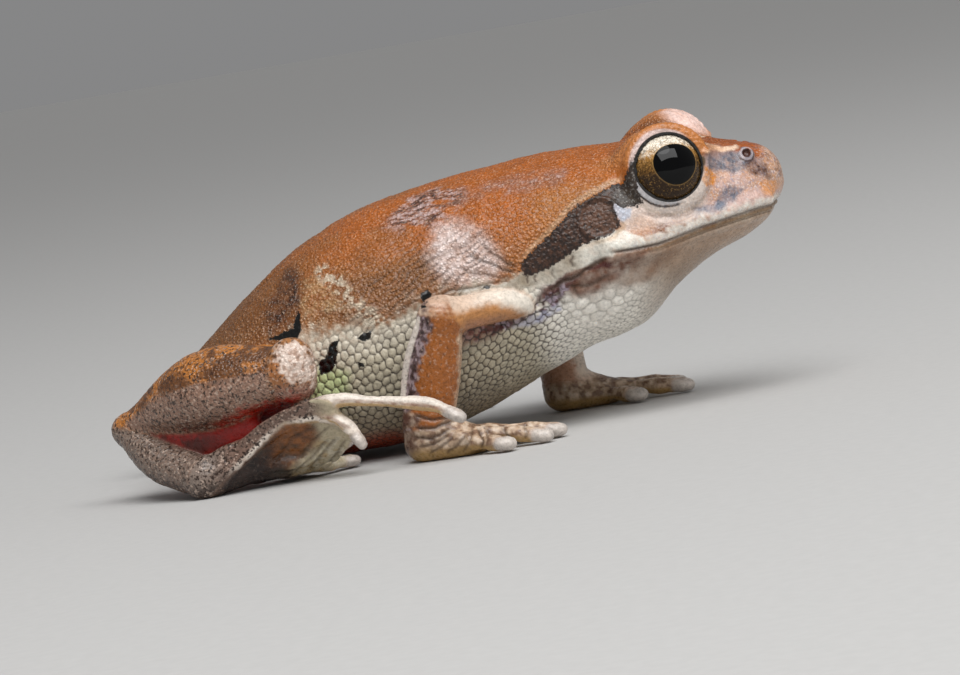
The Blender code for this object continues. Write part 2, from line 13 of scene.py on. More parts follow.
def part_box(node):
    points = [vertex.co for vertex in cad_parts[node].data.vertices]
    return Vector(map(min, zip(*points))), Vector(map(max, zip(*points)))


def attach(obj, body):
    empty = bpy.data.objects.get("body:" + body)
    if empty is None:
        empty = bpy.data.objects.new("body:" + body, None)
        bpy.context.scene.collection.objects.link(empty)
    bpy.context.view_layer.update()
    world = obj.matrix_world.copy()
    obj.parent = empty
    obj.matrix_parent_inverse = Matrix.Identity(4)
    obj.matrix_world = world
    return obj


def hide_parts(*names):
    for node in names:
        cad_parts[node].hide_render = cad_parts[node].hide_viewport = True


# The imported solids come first, as the frame that everything is set on. The trunk was drawn upright and
# then leaned to its right, so its tables are turned by that lean, and limbs keep the floor's own level.
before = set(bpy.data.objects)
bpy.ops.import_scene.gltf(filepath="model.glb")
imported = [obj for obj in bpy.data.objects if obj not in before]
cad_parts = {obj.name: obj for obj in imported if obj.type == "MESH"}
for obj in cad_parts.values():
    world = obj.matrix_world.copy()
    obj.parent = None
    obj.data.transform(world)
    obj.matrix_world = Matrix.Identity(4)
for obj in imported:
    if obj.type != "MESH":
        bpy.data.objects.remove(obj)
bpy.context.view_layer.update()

MM = 0.001
TRUNK_LEAN = math.radians(3.5)
TRUNK_RISE = 0.6
EYE_CENTRE = (15.0, 3.9, 13.3)
RIGHT, LEFT = -1, 1


def leaned(points):
    """Trunk places, upright, as places over the floor."""
    x, y, z = np.moveaxis(np.asarray(points, float), -1, 0)
    c, s = math.cos(TRUNK_LEAN), math.sin(TRUNK_LEAN)
    return np.stack([x, y * c - z * s, y * s + z * c + TRUNK_RISE], axis=-1)


def upright(points):
    """Places over the floor as upright trunk places."""
    x, y, z = np.moveaxis(np.asarray(points, float), -1, 0)
    c, s = math.cos(TRUNK_LEAN), math.sin(TRUNK_LEAN)
    z = z - TRUNK_RISE
    return np.stack([x, y * c + z * s, z * c - y * s], axis=-1)


def side_of(point, side):
    """A place of the right or left half, from its distance to the plane of symmetry."""
    return np.array((point[0], side * point[1], point[2]))


eye_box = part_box("eye_right")
FROG_AT = np.array((eye_box[0] + eye_box[1]) / 2) / MM - leaned(side_of(EYE_CENTRE, RIGHT))


def in_frame(points):
    """Table millimetres as the frame's metres."""
    return (np.asarray(points, float) + FROG_AT) * MM


# Camera: a long lens level with the frog, a little in front of its right side. It is rolled, because the
# sloping perch has become a level floor.
VIEW_AZIMUTH, VIEW_ELEVATION, VIEW_ROLL = math.radians(4.97), math.radians(4.51), math.radians(9.694)
VIEW_TARGET = Vector((1.265, -1.996, 5.611)) * MM
VIEW_DISTANCE = 0.24
LENS = 155.172

view_back = Vector((
    math.sin(VIEW_AZIMUTH) * math.cos(VIEW_ELEVATION),
    -math.cos(VIEW_AZIMUTH) * math.cos(VIEW_ELEVATION),
    math.sin(VIEW_ELEVATION),
))
level_right = Vector((math.cos(VIEW_AZIMUTH), math.sin(VIEW_AZIMUTH), 0))
level_up = view_back.cross(level_right)
view_right = level_right * math.cos(VIEW_ROLL) - level_up * math.sin(VIEW_ROLL)
view_up = level_right * math.sin(VIEW_ROLL) + level_up * math.cos(VIEW_ROLL)
camera_data = bpy.data.cameras.new("camera")
camera_data.lens = LENS
camera_data.clip_start, camera_data.clip_end = 0.01, 20.0
camera = bpy.data.objects.new("camera", camera_data)
turned = Matrix((view_right, view_up, view_back)).transposed().to_4x4()
turned.translation = VIEW_TARGET + view_back * VIEW_DISTANCE
camera.matrix_world = turned
bpy.context.scene.collection.objects.link(camera)
bpy.context.scene.camera = camera
bpy.context.scene.view_settings.view_transform = "Standard"


# Floor and light: a sheet of pale card under a large soft box above the camera, with a weak fill in
# front, soft light from far above that reaches the whole floor, and a pale room all round.
FLOOR_SIZE = 8.0
FLOOR_COLOUR = (0.505, 0.50, 0.49)
KEY_SIZE, KEY_POWER, KEY_DISTANCE = (0.44, 0.26), 1.75, 0.42
KEY_FROM = (0.06, 0.77, 0.62)
FILL_SIZE, FILL_POWER, FILL_DISTANCE = (0.5, 0.5), 0.22, 0.6
FILL_FROM = (0.85, 0.25, 0.45)
OVERHEAD_STRENGTH, OVERHEAD_SPREAD, OVERHEAD_FROM = 0.78, math.radians(35), (-0.15, 0.9, 0.35)
ROOM = ((0.99, 0.99, 1.0), 0.24)


def new_node(tree, kind, inputs=(), **settings):
    """A shader node with its settings, and its inputs joined to sockets or set to values."""
    made = tree.nodes.new(kind)
    for key, value in settings.items():
        setattr(made, key, value)
    pairs = inputs.items() if isinstance(inputs, dict) else enumerate(inputs)
    for key, value in pairs:
        if isinstance(value, bpy.types.NodeSocket):
            tree.links.new(value, made.inputs[key])
        elif value is not None:
            made.inputs[key].default_value = value
    return made


def new_material(name):
    """A material with its Principled shader, and the frog's own millimetres as a place to pattern by."""
    made = bpy.data.materials.new(name)
    made.use_nodes = True
    tree = made.node_tree
    shader = tree.nodes["Principled BSDF"]
    where = new_node(tree, "ShaderNodeTexCoord").outputs["Object"]
    place = new_node(tree, "ShaderNodeVectorMath", (where, (1000, 1000, 1000)), operation="MULTIPLY").outputs[0]
    return made, tree, shader, place


card, tree, shader, place = new_material("pale_card")
fibre = new_node(tree, "ShaderNodeTexNoise", {"Vector": place, "Scale": 1.4, "Detail": 6.0})
tone = new_node(tree, "ShaderNodeMapRange", (fibre.outputs["Fac"], 0.2, 0.8, 0.96, 1.03))
mixed = new_node(tree, "ShaderNodeVectorMath", (FLOOR_COLOUR, tone.outputs[0]), operation="MULTIPLY")
tree.links.new(mixed.outputs[0], shader.inputs["Base Color"])
shader.inputs["Roughness"].default_value = 0.75
card_bump = {"Strength": 0.15, "Distance": 0.00003, "Height": fibre.outputs["Fac"]}
card_grain = new_node(tree, "ShaderNodeBump", card_bump)
tree.links.new(card_grain.outputs[0], shader.inputs["Normal"])
floor_mesh = bpy.data.meshes.new("floor")
half = FLOOR_SIZE / 2
corners = [(-half, -half, 0), (half, -half, 0), (half, half, 0), (-half, half, 0)]
floor_mesh.from_pydata(corners, [], [(0, 1, 2, 3)])
floor_mesh.materials.append(card)
floor = bpy.data.objects.new("floor", floor_mesh)
bpy.context.scene.collection.objects.link(floor)


def aim(lamp, way, distance):
    """Hangs a lamp on that side of the frog, as seen from the camera, facing the frog."""
    towards = (view_right * way[0] + view_up * way[1] + view_back * way[2]).normalized()
    lamp.location = VIEW_TARGET + towards * distance
    lamp.rotation_mode = "QUATERNION"
    lamp.rotation_quaternion = (-towards).to_track_quat("-Z", "Y")
    bpy.context.scene.collection.objects.link(lamp)


for name, size, power, distance, way in (
    ("key", KEY_SIZE, KEY_POWER, KEY_DISTANCE, KEY_FROM),
    ("fill", FILL_SIZE, FILL_POWER, FILL_DISTANCE, FILL_FROM),
):
    data = bpy.data.lights.new(name, "AREA")
    data.shape = "RECTANGLE"
    data.size, data.size_y = size
    data.energy = power
    lamp = bpy.data.objects.new(name, data)
    lamp.visible_glossy = name == "key"
    aim(lamp, way, distance)
data = bpy.data.lights.new("overhead", "SUN")
data.energy, data.angle = OVERHEAD_STRENGTH, OVERHEAD_SPREAD
aim(bpy.data.objects.new("overhead", data), OVERHEAD_FROM, 1.0)
room = bpy.data.worlds.new("room")
room.use_nodes = True
room.node_tree.nodes["Background"].inputs["Color"].default_value = (*ROOM[0], 1.0)
room.node_tree.nodes["Background"].inputs["Strength"].default_value = ROOM[1]
bpy.context.scene.world = room


# Head and torso, modelled as one smooth body of clay: full belly, flat crown and a snout that slopes to
# its lip. Clay is kept as distances on a fine grid, so that later pieces melt into it without a seam.
CLAY_GRAIN = 0.08
CLAY_REACH = 1.2
CLAY_LOW = np.array((-19.5, -16.9, -0.7))
CLAY_HIGH = np.array((23.4, 18.6, 18.2))
TRUNK, LIDS, UPPER_ARM, FOREARM, HAND, THIGH, SHANK, TARSUS, FOOT, DISC, WEB = range(1, 12)
TRUNK_SECTIONS = (
    (-15.2, 4.6, -14.8, 3.6, 0.9, 0.5, 2.0, 2.0),
    (-14.7, 5.8, -14.0, 2.2, 2.4, 0.5, 2.0, 2.0),
    (-13.3, 7.2, -12.4, 1.0, 4.2, 0.45, 2.0, 2.1),
    (-10.8, 9.2, -10.0, 0.2, 6.0, 0.42, 2.0, 2.2),
    (-7.3, 11.7, -6.6, -0.15, 7.3, 0.40, 2.0, 2.3),
    (-3.8, 13.3, -3.4, -0.2, 8.0, 0.40, 2.0, 2.3),
    (-0.4, 14.1, -0.1, 0.2, 8.0, 0.42, 2.0, 2.2),
    (2.6, 14.55, 3.2, 1.2, 7.5, 0.45, 2.1, 2.1),
    (5.6, 14.85, 6.6, 2.6, 6.9, 0.48, 2.2, 2.0),
    (8.5, 15.0, 9.3, 3.6, 6.5, 0.50, 2.3, 2.0),
    (11.4, 14.9, 12.3, 4.4, 6.3, 0.50, 2.3, 2.0),
    (14.0, 14.8, 14.7, 6.4, 5.7, 0.46, 2.3, 2.0),
    (16.6, 14.45, 17.0, 7.75, 4.75, 0.42, 2.3, 2.0),
    (18.8, 13.95, 18.9, 8.45, 3.6, 0.38, 2.3, 2.0),
    (20.15, 13.3, 20.2, 9.2, 2.6, 0.38, 2.2, 2.0),
    (20.95, 12.3, 20.9, 10.0, 1.5, 0.42, 2.0, 2.0),
)
TRUNK_RINGS, TRUNK_SIDES = 150, 110
AHEAD_OF_SNOUT, BEHIND_VENT = 0.4, 0.3

clay_first = np.round(CLAY_LOW / CLAY_GRAIN).astype(int)
clay_shape = np.round((CLAY_HIGH - CLAY_LOW) / CLAY_GRAIN).astype(int)
clay = np.full(clay_shape, CLAY_REACH, np.float32)
clay_kind = np.zeros(clay_shape, np.uint8)


def spline(rows, count):
    """Samples a smooth curve through the rows of a table, evenly in row number."""
    rows = np.asarray(rows, float)
    padded = np.vstack([2 * rows[0] - rows[1], rows, 2 * rows[-1] - rows[-2]])
    at = np.linspace(0, len(rows) - 1, count)
    first = np.minimum(at.astype(int), len(rows) - 2)
    f = (at - first)[:, None]
    a, b, c, d = (padded[first + k] for k in range(4))
    return 0.5 * (
        2 * b + (c - a) * f + (2 * a - 5 * b + 4 * c - d) * f**2 + (3 * b - a - 3 * c + d) * f**3
    )


def unit(way):
    """The same way, one long."""
    way = np.asarray(way, float)
    return way / np.linalg.norm(way)


def rise(value, low, high):
    """Goes smoothly from 0 at low to 1 at high."""
    t = np.clip((value - low) / (high - low), 0, 1)
    return t * t * (3 - 2 * t)


def lofted(rings, start, end):
    """A closed form through rings of equal size: its points, quads and triangles."""
    rings = np.asarray(rings)
    count, sides = rings.shape[:2]
    points = np.vstack([rings.reshape(-1, 3), [start], [end]])
    here = np.arange(count * sides).reshape(count, sides)
    beside = np.roll(here, -1, axis=1)
    quads = np.stack([here[:-1], beside[:-1], beside[1:], here[1:]], axis=-1).reshape(-1, 4)
    caps = [
        np.column_stack([beside[0], here[0], np.full(sides, count * sides)]),
        np.column_stack([here[-1], beside[-1], np.full(sides, count * sides + 1)]),
    ]
    return points, quads, np.vstack(caps)


def add_clay(kind, form, melt, joints=()):
    """Lays a closed form on the clay. It melts in a little everywhere, and more round each joint."""
    points, quads, triangles = form
    grid = openvdb.FloatGrid.createLevelSetFromPolygons(
        np.ascontiguousarray(points, np.float32),
        triangles=np.ascontiguousarray(triangles, np.uint32),
        quads=np.ascontiguousarray(quads, np.uint32),
        transform=openvdb.createLinearTransform(voxelSize=CLAY_GRAIN),
        halfWidth=CLAY_REACH / CLAY_GRAIN,
    )
    low, high = (np.array(corner) for corner in grid.evalActiveVoxelBoundingBox())
    low = np.maximum(low, clay_first)
    high = np.minimum(high, clay_first + clay_shape - 1)
    block = np.empty(high - low + 1, np.float32)
    grid.copyToArray(block, ijk=tuple(int(v) for v in low))
    window = tuple(slice(a, b) for a, b in zip(low - clay_first, high - clay_first + 1))
    whole = clay[window]
    soft = np.full(block.shape, melt, np.float32)
    axes = [(np.arange(a, b + 1) * CLAY_GRAIN).astype(np.float32) for a, b in zip(low, high)]
    for place, reach, amount in joints:
        squares = [(axis - c) ** 2 for axis, c in zip(axes, place)]
        away = np.sqrt(squares[0][:, None, None] + squares[1][None, :, None] + squares[2][None, None, :])
        soft = np.maximum(soft, amount * (1 - rise(away, reach * 0.35, reach)))
    lower = np.minimum(whole, block)
    near = np.clip(1 - np.abs(whole - block) / soft, 0, None)
    near[lower > CLAY_REACH * 0.9] = 0
    clay_kind[window][block < whole] = kind
    clay[window] = lower - near * near * soft / 4


def power(value, exponent):
    """A power that keeps the sign."""
    return np.sign(value) * np.abs(value) ** exponent


def trunk_form():
    """Rings through the trunk's sections, each an oval that may be squarer above or below."""
    rings = []
    angles = np.arange(TRUNK_SIDES) * 2 * math.pi / TRUNK_SIDES
    for tx, tz, bx, bz, width, share, above, below in spline(TRUNK_SECTIONS, TRUNK_RINGS):
        top, bottom = np.array((tx, 0, tz)), np.array((bx, 0, bz))
        waist = bottom + share * (top - bottom)
        squareness = np.where(np.sin(angles) > 0, above, below)
        out = power(np.cos(angles), 2 / squareness) * width
        up = np.abs(power(np.sin(angles), 2 / squareness))[:, None]
        reach = np.where(np.sin(angles)[:, None] > 0, top - waist, bottom - waist)
        rings.append(waist + up * reach + out[:, None] * (0, 1, 0))
    tip = rings[-1].mean(axis=0) + (AHEAD_OF_SNOUT, 0, 0)
    vent = rings[0].mean(axis=0) - (BEHIND_VENT, 0, 0)
    points, quads, triangles = lofted(rings, vent, tip)
    return leaned(points), quads, triangles


add_clay(TRUNK, trunk_form(), 0.1)


# Face: mounds that carry the eyes, lids rolled round them, raised nostrils, a thin rim round each
# eardrum and the swelling of the upper and lower lip, all laid on the clay and melted into it.
EYE_RADIUS = 2.17
EYE_TURN_FORWARD = math.radians(13)
EYE_TURN_UP = math.radians(12)
EYE_MOUND = {RIGHT: (2.75, 2.4, 2.5), LEFT: (2.4, 2.4, 2.6)}
MOUND_BACK, MOUND_IN, MOUND_MELT = {RIGHT: 0.25, LEFT: -0.25}, 0.55, 0.9
BEHIND_LEFT_EYE, BEHIND_SIZE, BEHIND_MELT = (0.45, 0.75, 0.1), 2.45, 0.6
LID_EDGE, LID_OUT = 1.97, 0.85
LID_UPPER, LID_LOWER = {RIGHT: 0.31, LEFT: 0.25}, 0.17
UPPER_LID_OUT, LID_MELT = 0.12, 0.6
NOSTRIL_AT, NOSTRIL_FACES = (19.6, 1.75, 13.2), (0.25, 0.9, 0.35)
NOSTRIL_RIM, NOSTRIL_HOLE, NOSTRIL_MELT = 0.42, 0.23, 0.45
EARDRUM_AT, EARDRUM_RADIUS, EARDRUM_RIM = (11.0, 11.5), 1.15, 0.09
EARDRUM_OUT, EARDRUM_MELT = -0.05, 0.22
UPPER_LIP, UPPER_LIP_MELT = 0.34, 0.7
LOWER_LIP, LOWER_LIP_DOWN, LOWER_LIP_IN, LOWER_LIP_MELT = 0.26, 0.3, 0.12, 0.6
MOUTH_LINE = (
    (23.5, 10.3), (20.6, 10.15), (19.8, 10.18), (18.1, 10.03), (16.4, 9.84), (15.1, 9.62), (14.0, 9.44),
    (12.4, 9.45), (11.3, 9.5), (10.3, 9.3), (6.0, 8.9),
)
SNOUT, SNOUT_SIZE, SNOUT_MELT = (19.75, 0.0, 11.7), (1.72, 1.75, 1.85), 0.5


def ball(centre, radii, segments=48, rings=32):
    """A ball, or an egg with a radius for each axis."""
    levels = np.linspace(-math.pi / 2, math.pi / 2, rings + 1)[1:-1]
    turns = np.arange(segments) * 2 * math.pi / segments
    centre, radii = np.asarray(centre, float), np.broadcast_to(radii, 3)
    circles = [
        centre + radii * np.column_stack([np.cos(turns) * math.cos(v), np.sin(turns) * math.cos(v),
                                          np.full(segments, math.sin(v))])
        for v in levels
    ]
    return lofted(circles, centre - (0, 0, radii[2]), centre + (0, 0, radii[2]))


def tube(path, half_widths, half_depths=None, flat=(0, 0, 1), sides=28, spacing=0.15):
    """A round or flattened tube with rounded ends. flat is the way that its thin side faces."""
    half_depths = half_widths if half_depths is None else half_depths
    rows = np.column_stack([np.asarray(path, float), half_widths, half_depths])
    length = np.linalg.norm(np.diff(rows[:, :3], axis=0), axis=1).sum()
    rows = spline(rows, max(8, int(length / spacing)))
    centres, wide, deep = rows[:, :3], rows[:, 3], rows[:, 4]
    tangents = np.gradient(centres, axis=0)
    tangents /= np.linalg.norm(tangents, axis=1)[:, None]
    ends = []
    for index, way in ((0, -1), (-1, 1)):
        steps = np.radians((15, 30, 45, 58, 70, 80))
        bulge = min(wide[index], deep[index])
        ends.append([(centres[index] + way * tangents[index] * bulge * math.sin(s), wide[index] * math.cos(s),
                      deep[index] * math.cos(s), tangents[index]) for s in steps])
    stations = ends[0][::-1] + list(zip(centres, wide, deep, tangents)) + ends[1]
    angles = np.arange(sides) * 2 * math.pi / sides
    rings = []
    for centre, a, b, along in stations:
        up = unit(np.asarray(flat, float) - np.dot(flat, along) * along)
        beside = np.cross(along, up)
        rings.append(centre + np.outer(np.cos(angles) * a, beside) + np.outer(np.sin(angles) * b, up))
    start = centres[0] - tangents[0] * min(wide[0], deep[0])
    end = centres[-1] + tangents[-1] * min(wide[-1], deep[-1])
    return lofted(rings, start, end)


def around(centre, axis, radius, thickness, out=0.0, segments=72, sides=18):
    """A ring round an axis. Radius, thickness and how far out it lies may change on the way round."""
    axis = unit(axis)
    turns = np.arange(segments) * 2 * math.pi / segments
    upward = unit(np.array((0, 0, 1.0)) - axis[2] * axis)
    beside = np.cross(upward, axis)
    ways = np.outer(np.sin(turns), upward) + np.outer(np.cos(turns), beside)
    radius, thickness, out = (np.broadcast_to(v, segments) for v in (radius, thickness, out))
    tilts = np.arange(sides) * 2 * math.pi / sides
    flat = radius[:, None] + thickness[:, None] * np.cos(tilts)
    high = out[:, None] + thickness[:, None] * np.sin(tilts)
    points = np.asarray(centre) + ways[:, None, :] * flat[..., None] + axis * high[..., None]
    here = np.arange(segments * sides).reshape(segments, sides)
    beyond, beside = np.roll(here, -1, axis=0), np.roll(here, -1, axis=1)
    both = np.roll(beyond, -1, axis=1)
    quads = np.stack([here, beyond, both, beside], axis=-1).reshape(-1, 4)
    return points.reshape(-1, 3), quads, np.zeros((0, 3), int)


def eye_axis(side):
    """The way that an eye looks."""
    forward, up = EYE_TURN_FORWARD, EYE_TURN_UP
    return np.array((math.sin(forward) * math.cos(up), side * math.cos(forward) * math.cos(up), math.sin(up)))


def trunk_piece(form):
    """A form drawn upright, leaned with the trunk."""
    points, quads, triangles = form
    return leaned(points), quads, triangles


def between_corners(base, part, value_at):
    """A value between the eight corners of a cell, at a part of the way along each of its sides."""
    total = np.zeros(len(base))
    for i in (0, 1):
        for j in (0, 1):
            for k in (0, 1):
                weight = (part[:, 0] if i else 1 - part[:, 0]) * (part[:, 1] if j else 1 - part[:, 1])
                weight = weight * (part[:, 2] if k else 1 - part[:, 2])
                total += weight * value_at(base[:, 0] + i, base[:, 1] + j, base[:, 2] + k)
    return total


def clay_at(points):
    """Distance from places to the clay's surface, read between the points of its grid."""
    at = np.asarray(points, float) / CLAY_GRAIN - clay_first
    base = np.clip(np.floor(at).astype(int), 0, clay_shape - 2)
    return between_corners(base, np.clip(at - base, 0, 1), lambda i, j, k: clay[i, j, k])


def side_point(x, z, side):
    """The trunk's surface at that length and height, upright, and the way that it faces."""
    reach = np.arange(9.5, 0.2, -0.02)
    line = np.column_stack([np.full(len(reach), x), side * reach, np.full(len(reach), z)])
    inside = clay_at(leaned(line)) < 0
    point = line[int(np.argmax(inside))]
    step = 0.2
    slope = [clay_at(leaned([point + e, point - e])) for e in np.eye(3) * step]
    return point, unit([a - b for a, b in slope])


add_clay(TRUNK, trunk_piece(ball(SNOUT, SNOUT_SIZE)), SNOUT_MELT)
lid_turns = np.sin(np.arange(72) * 2 * math.pi / 72)
upper_share = rise(lid_turns, -0.35, 0.55)
for side in (RIGHT, LEFT):
    centre = side_of(EYE_CENTRE, side)
    facing = eye_axis(side)
    mound = ball(centre - (MOUND_BACK[side], side * MOUND_IN, 0.0), EYE_MOUND[side])
    add_clay(TRUNK, trunk_piece(mound), MOUND_MELT)
    if side == LEFT:
        add_clay(TRUNK, trunk_piece(ball(centre - BEHIND_LEFT_EYE, BEHIND_SIZE)), BEHIND_MELT)
    thickness = LID_LOWER + (LID_UPPER[side] - LID_LOWER) * upper_share
    lids = around(centre, facing, LID_EDGE + thickness, thickness, LID_OUT + UPPER_LID_OUT * upper_share)
    add_clay(LIDS, trunk_piece(lids), LID_MELT)
    drum, outward = side_point(*EARDRUM_AT, side)
    drum_rim = around(drum, outward, EARDRUM_RADIUS, EARDRUM_RIM, EARDRUM_OUT)
    add_clay(TRUNK, trunk_piece(drum_rim), EARDRUM_MELT)
    add_clay(TRUNK, trunk_piece(ball(side_of(NOSTRIL_AT, side), NOSTRIL_RIM)), NOSTRIL_MELT)
    mouth = spline(MOUTH_LINE[1:-2], 24)[1:]
    upper_lip = [side_point(x, z + UPPER_LIP, side)[0] for x, z in mouth]
    add_clay(TRUNK, trunk_piece(tube(upper_lip, [UPPER_LIP] * len(upper_lip))), UPPER_LIP_MELT)
    lip_in = np.array((0, side * LOWER_LIP_IN, 0))
    lower_lip = [side_point(x, z - LOWER_LIP_DOWN, side)[0] - lip_in for x, z in mouth[1:]]
    add_clay(TRUNK, trunk_piece(tube(lower_lip, [LOWER_LIP] * len(lower_lip))), LOWER_LIP_MELT)


# Arms: upper arm along the flank, forearm straight down to a spread hand. Muscle swells the forearm, and
# each finger runs over its knuckles to a round disc.
RIGHT_ARM = {"shoulder": (7.2, 5.7, 7.6), "elbow": (1.45, 9.3, 7.75), "wrist": (-0.25, 9.6, 1.9)}
LEFT_ARM = {"shoulder": (8.6, 5.0, 8.6), "elbow": (5.9, 10.0, 6.4), "wrist": (6.8, 5.8, 1.6)}
UPPER_ARM_GIRTH = (0.6, 0.86, 0.95, 1.0, 1.2)
FOREARM_WIDE = (1.2, 1.42, 1.52, 1.48, 1.3)
FOREARM_DEEP = (1.2, 1.25, 1.25, 1.15, 0.95)
HEEL_OF_HAND = (1.5, 1.3, 1.15)
FRINGE = ((0.35, 9.9, 7.9), (-0.2, 9.9, 6.9), (-0.72, 9.85, 5.9), (-1.08, 9.8, 4.8), (-1.3, 9.8, 3.8))
FRINGE_GIRTH = 0.17
PALM = (2.1, 1.55, 0.95)
WRIST_WIDE, WRIST_DEEP = (1.3, 1.25, 1.2), (1.0, 0.95, 0.9)
FINGER, FINGER_PAD = 0.42, 0.66
RIGHT_FINGERS = (
    ((0.8, 9.2, 1.0), (2.9, 8.6, 0.75), (5.0, 7.6, 0.5)),
    ((0.8, 9.5, 1.1), (3.6, 9.0, 0.95), (6.7, 8.7, 0.5)),
    ((0.8, 9.8, 1.1), (3.4, 10.0, 0.95), (6.0, 10.3, 0.5)),
    ((0.8, 10.2, 1.0), (2.5, 11.0, 0.7), (4.0, 11.7, 0.5)),
)
LEFT_FINGERS = (
    ((7.0, 6.0, 1.0), (9.2, 5.0, 0.7), (10.9, 3.6, 0.5)),
    ((7.2, 6.1, 1.0), (10.2, 5.5, 0.85), (13.6, 4.9, 0.5)),
    ((7.2, 6.5, 1.0), (10.2, 6.8, 0.85), (13.2, 7.3, 0.5)),
    ((7.0, 6.9, 1.0), (9.0, 8.0, 0.7), (10.8, 9.4, 0.5)),
)
KNUCKLE = 0.06

digit_tips = []


def add_digits(kind, ways, side, thickness, pad):
    """Fingers or toes: a knuckled tube that ends in a flattened disc."""
    for way in ways:
        path = spline([side_of(p, side) for p in way], 19)
        run = np.linspace(0, 1, 19)
        girth = thickness * (1.15 - 0.15 * run) + KNUCKLE * np.cos(run * math.pi * 5) * (run < 0.95)
        add_clay(kind, tube(path, girth), 0.1, [(path[0], 2.2, 0.5)])
        tip = path[-1]
        along = unit(tip - side_of(way[-2], side))
        disc = [tip - along * 0.5, tip, tip + along * 0.35]
        add_clay(DISC, tube(disc, [thickness, pad, pad * 0.8], [thickness * 0.9] * 3), 0.22)
        digit_tips.append((tip, along))


for side, joints, fingers in ((RIGHT, RIGHT_ARM, RIGHT_FINGERS), (LEFT, LEFT_ARM, LEFT_FINGERS)):
    shoulder, elbow, wrist = (side_of(joints[name], side) for name in ("shoulder", "elbow", "wrist"))
    knuckles = np.mean([side_of(way[1], side) for way in fingers], axis=0)
    upper_way = spline((shoulder, (shoulder + elbow) / 2 + (0, side * 0.25, 0.12), elbow), 5)
    add_clay(UPPER_ARM, tube(upper_way, UPPER_ARM_GIRTH), 0.12, [(shoulder, 2.6, 0.7)])
    fore_way = spline((elbow, (elbow + wrist) / 2, wrist), 5)
    fore = tube(fore_way, FOREARM_WIDE, FOREARM_DEEP, (0, 1, 0))
    add_clay(FOREARM, fore, 0.1, [(elbow, 2.6, 0.6)])
    if side == RIGHT:
        fringe = [side_of(p, side) for p in FRINGE]
        add_clay(FOREARM, tube(fringe, [FRINGE_GIRTH] * len(fringe)), 0.12)
    palm_middle = (wrist + knuckles) / 2
    palm_middle[2] = 0.75
    add_clay(HAND, ball((wrist[0], wrist[1], 1.0), HEEL_OF_HAND), 0.2, [(wrist, 2.5, 0.6)])
    add_clay(HAND, ball(palm_middle, PALM), 0.5)
    wrist_way = (wrist + (elbow - wrist) * 0.12, wrist, palm_middle)
    add_clay(HAND, tube(wrist_way, WRIST_WIDE, WRIST_DEEP, (0, 1, 0.2)), 0.3, [(wrist, 2.5, 0.6)])
    add_digits(HAND, fingers, side, FINGER, FINGER_PAD)


# Hind legs: folded in a Z beside the body, thigh against the flank, shank over it and tarsus below, with
# long webbed toes. The right foot fans on its edge with its outer toes up over the wrist.
HIP, KNEE, HEEL = (-12.0, 2.5, 3.8), (-7.3, 11.7, 6.4), (-17.6, 5.9, 4.1)
RIGHT_ANKLE, LEFT_ANKLE = (-13.0, 10.4, 1.1), (-13.0, 10.4, 1.0)
THIGH_GIRTH = (2.6, 2.75, 2.5, 2.0, 1.4)
SHANK_GIRTH = (1.35, 1.85, 2.25, 2.25, 1.85, 1.25, 0.85)
KNEE_CAP, KNEE_CAP_WAY = 1.3, ((-6.9, 11.75, 6.95), (-6.85, 11.7, 6.4), (-6.95, 11.5, 5.8))
TARSUS_GIRTH = (0.85, 1.1, 1.25, 1.2, 1.1)
SOLE_WIDE, SOLE_DEEP = (1.1, 1.5, 1.3), (1.0, 0.7, 0.5)
TOE, TOE_PAD = 0.34, 0.56
WEB_THICKNESS = 0.3
RIGHT_WEB_REACH, LEFT_WEB_REACH = (0.9, 0.85, 0.7, 0.42), (0.6, 0.6, 0.6, 0.6)
BEND_SKIN = ((-16.5, 6.9, 3.9), (-14.4, 8.5, 3.3), (-12.0, 9.6, 3.1), (-9.8, 10.4, 3.7))
BEND_SKIN_HIGH, BEND_SKIN_THICK = (0.6, 1.5, 1.6, 1.2), 0.5
RIGHT_TOES = (
    ((-12.3, 10.3, 0.8), (-9.8, 9.2, 0.6), (-8.1, 7.4, 0.45)),
    ((-12.3, 10.4, 0.9), (-9.3, 9.8, 0.8), (-6.9, 8.7, 0.6), (-5.2, 7.2, 0.45)),
    ((-12.3, 10.6, 1.0), (-9.4, 10.5, 1.3), (-7.4, 10.3, 1.2), (-6.2, 10.2, 1.6), (-4.8, 10.2, 1.9)),
    (
        (-12.3, 10.9, 1.2), (-9.4, 11.3, 3.2), (-7.0, 11.8, 4.15), (-4.7, 12.1, 4.38),
        (-2.9, 12.2, 4.06), (-1.1, 12.3, 3.7), (0.55, 12.4, 3.3), (1.7, 12.5, 2.56),
    ),
    (
        (-12.3, 11.0, 1.0), (-9.5, 11.5, 2.7), (-7.4, 11.8, 3.6), (-5.9, 12.0, 3.7),
        (-4.85, 12.1, 3.3), (-4.25, 12.1, 2.7), (-3.9, 12.1, 2.05),
    ),
)
LEFT_TOES = (
    ((-12.3, 10.5, 0.9), (-9.9, 10.2, 0.6), (-7.4, 9.6, 0.45)),
    ((-12.3, 10.7, 0.9), (-8.9, 11.0, 0.65), (-5.4, 10.6, 0.45)),
    ((-12.3, 10.9, 0.9), (-8.2, 12.0, 0.7), (-2.9, 12.4, 0.45)),
    ((-12.3, 11.1, 0.9), (-8.0, 12.8, 0.75), (-3.2, 14.2, 0.6), (0.9, 14.8, 0.45)),
    ((-12.3, 11.3, 0.9), (-9.2, 13.1, 0.65), (-6.3, 15.0, 0.5), (-3.8, 16.2, 0.45)),
)


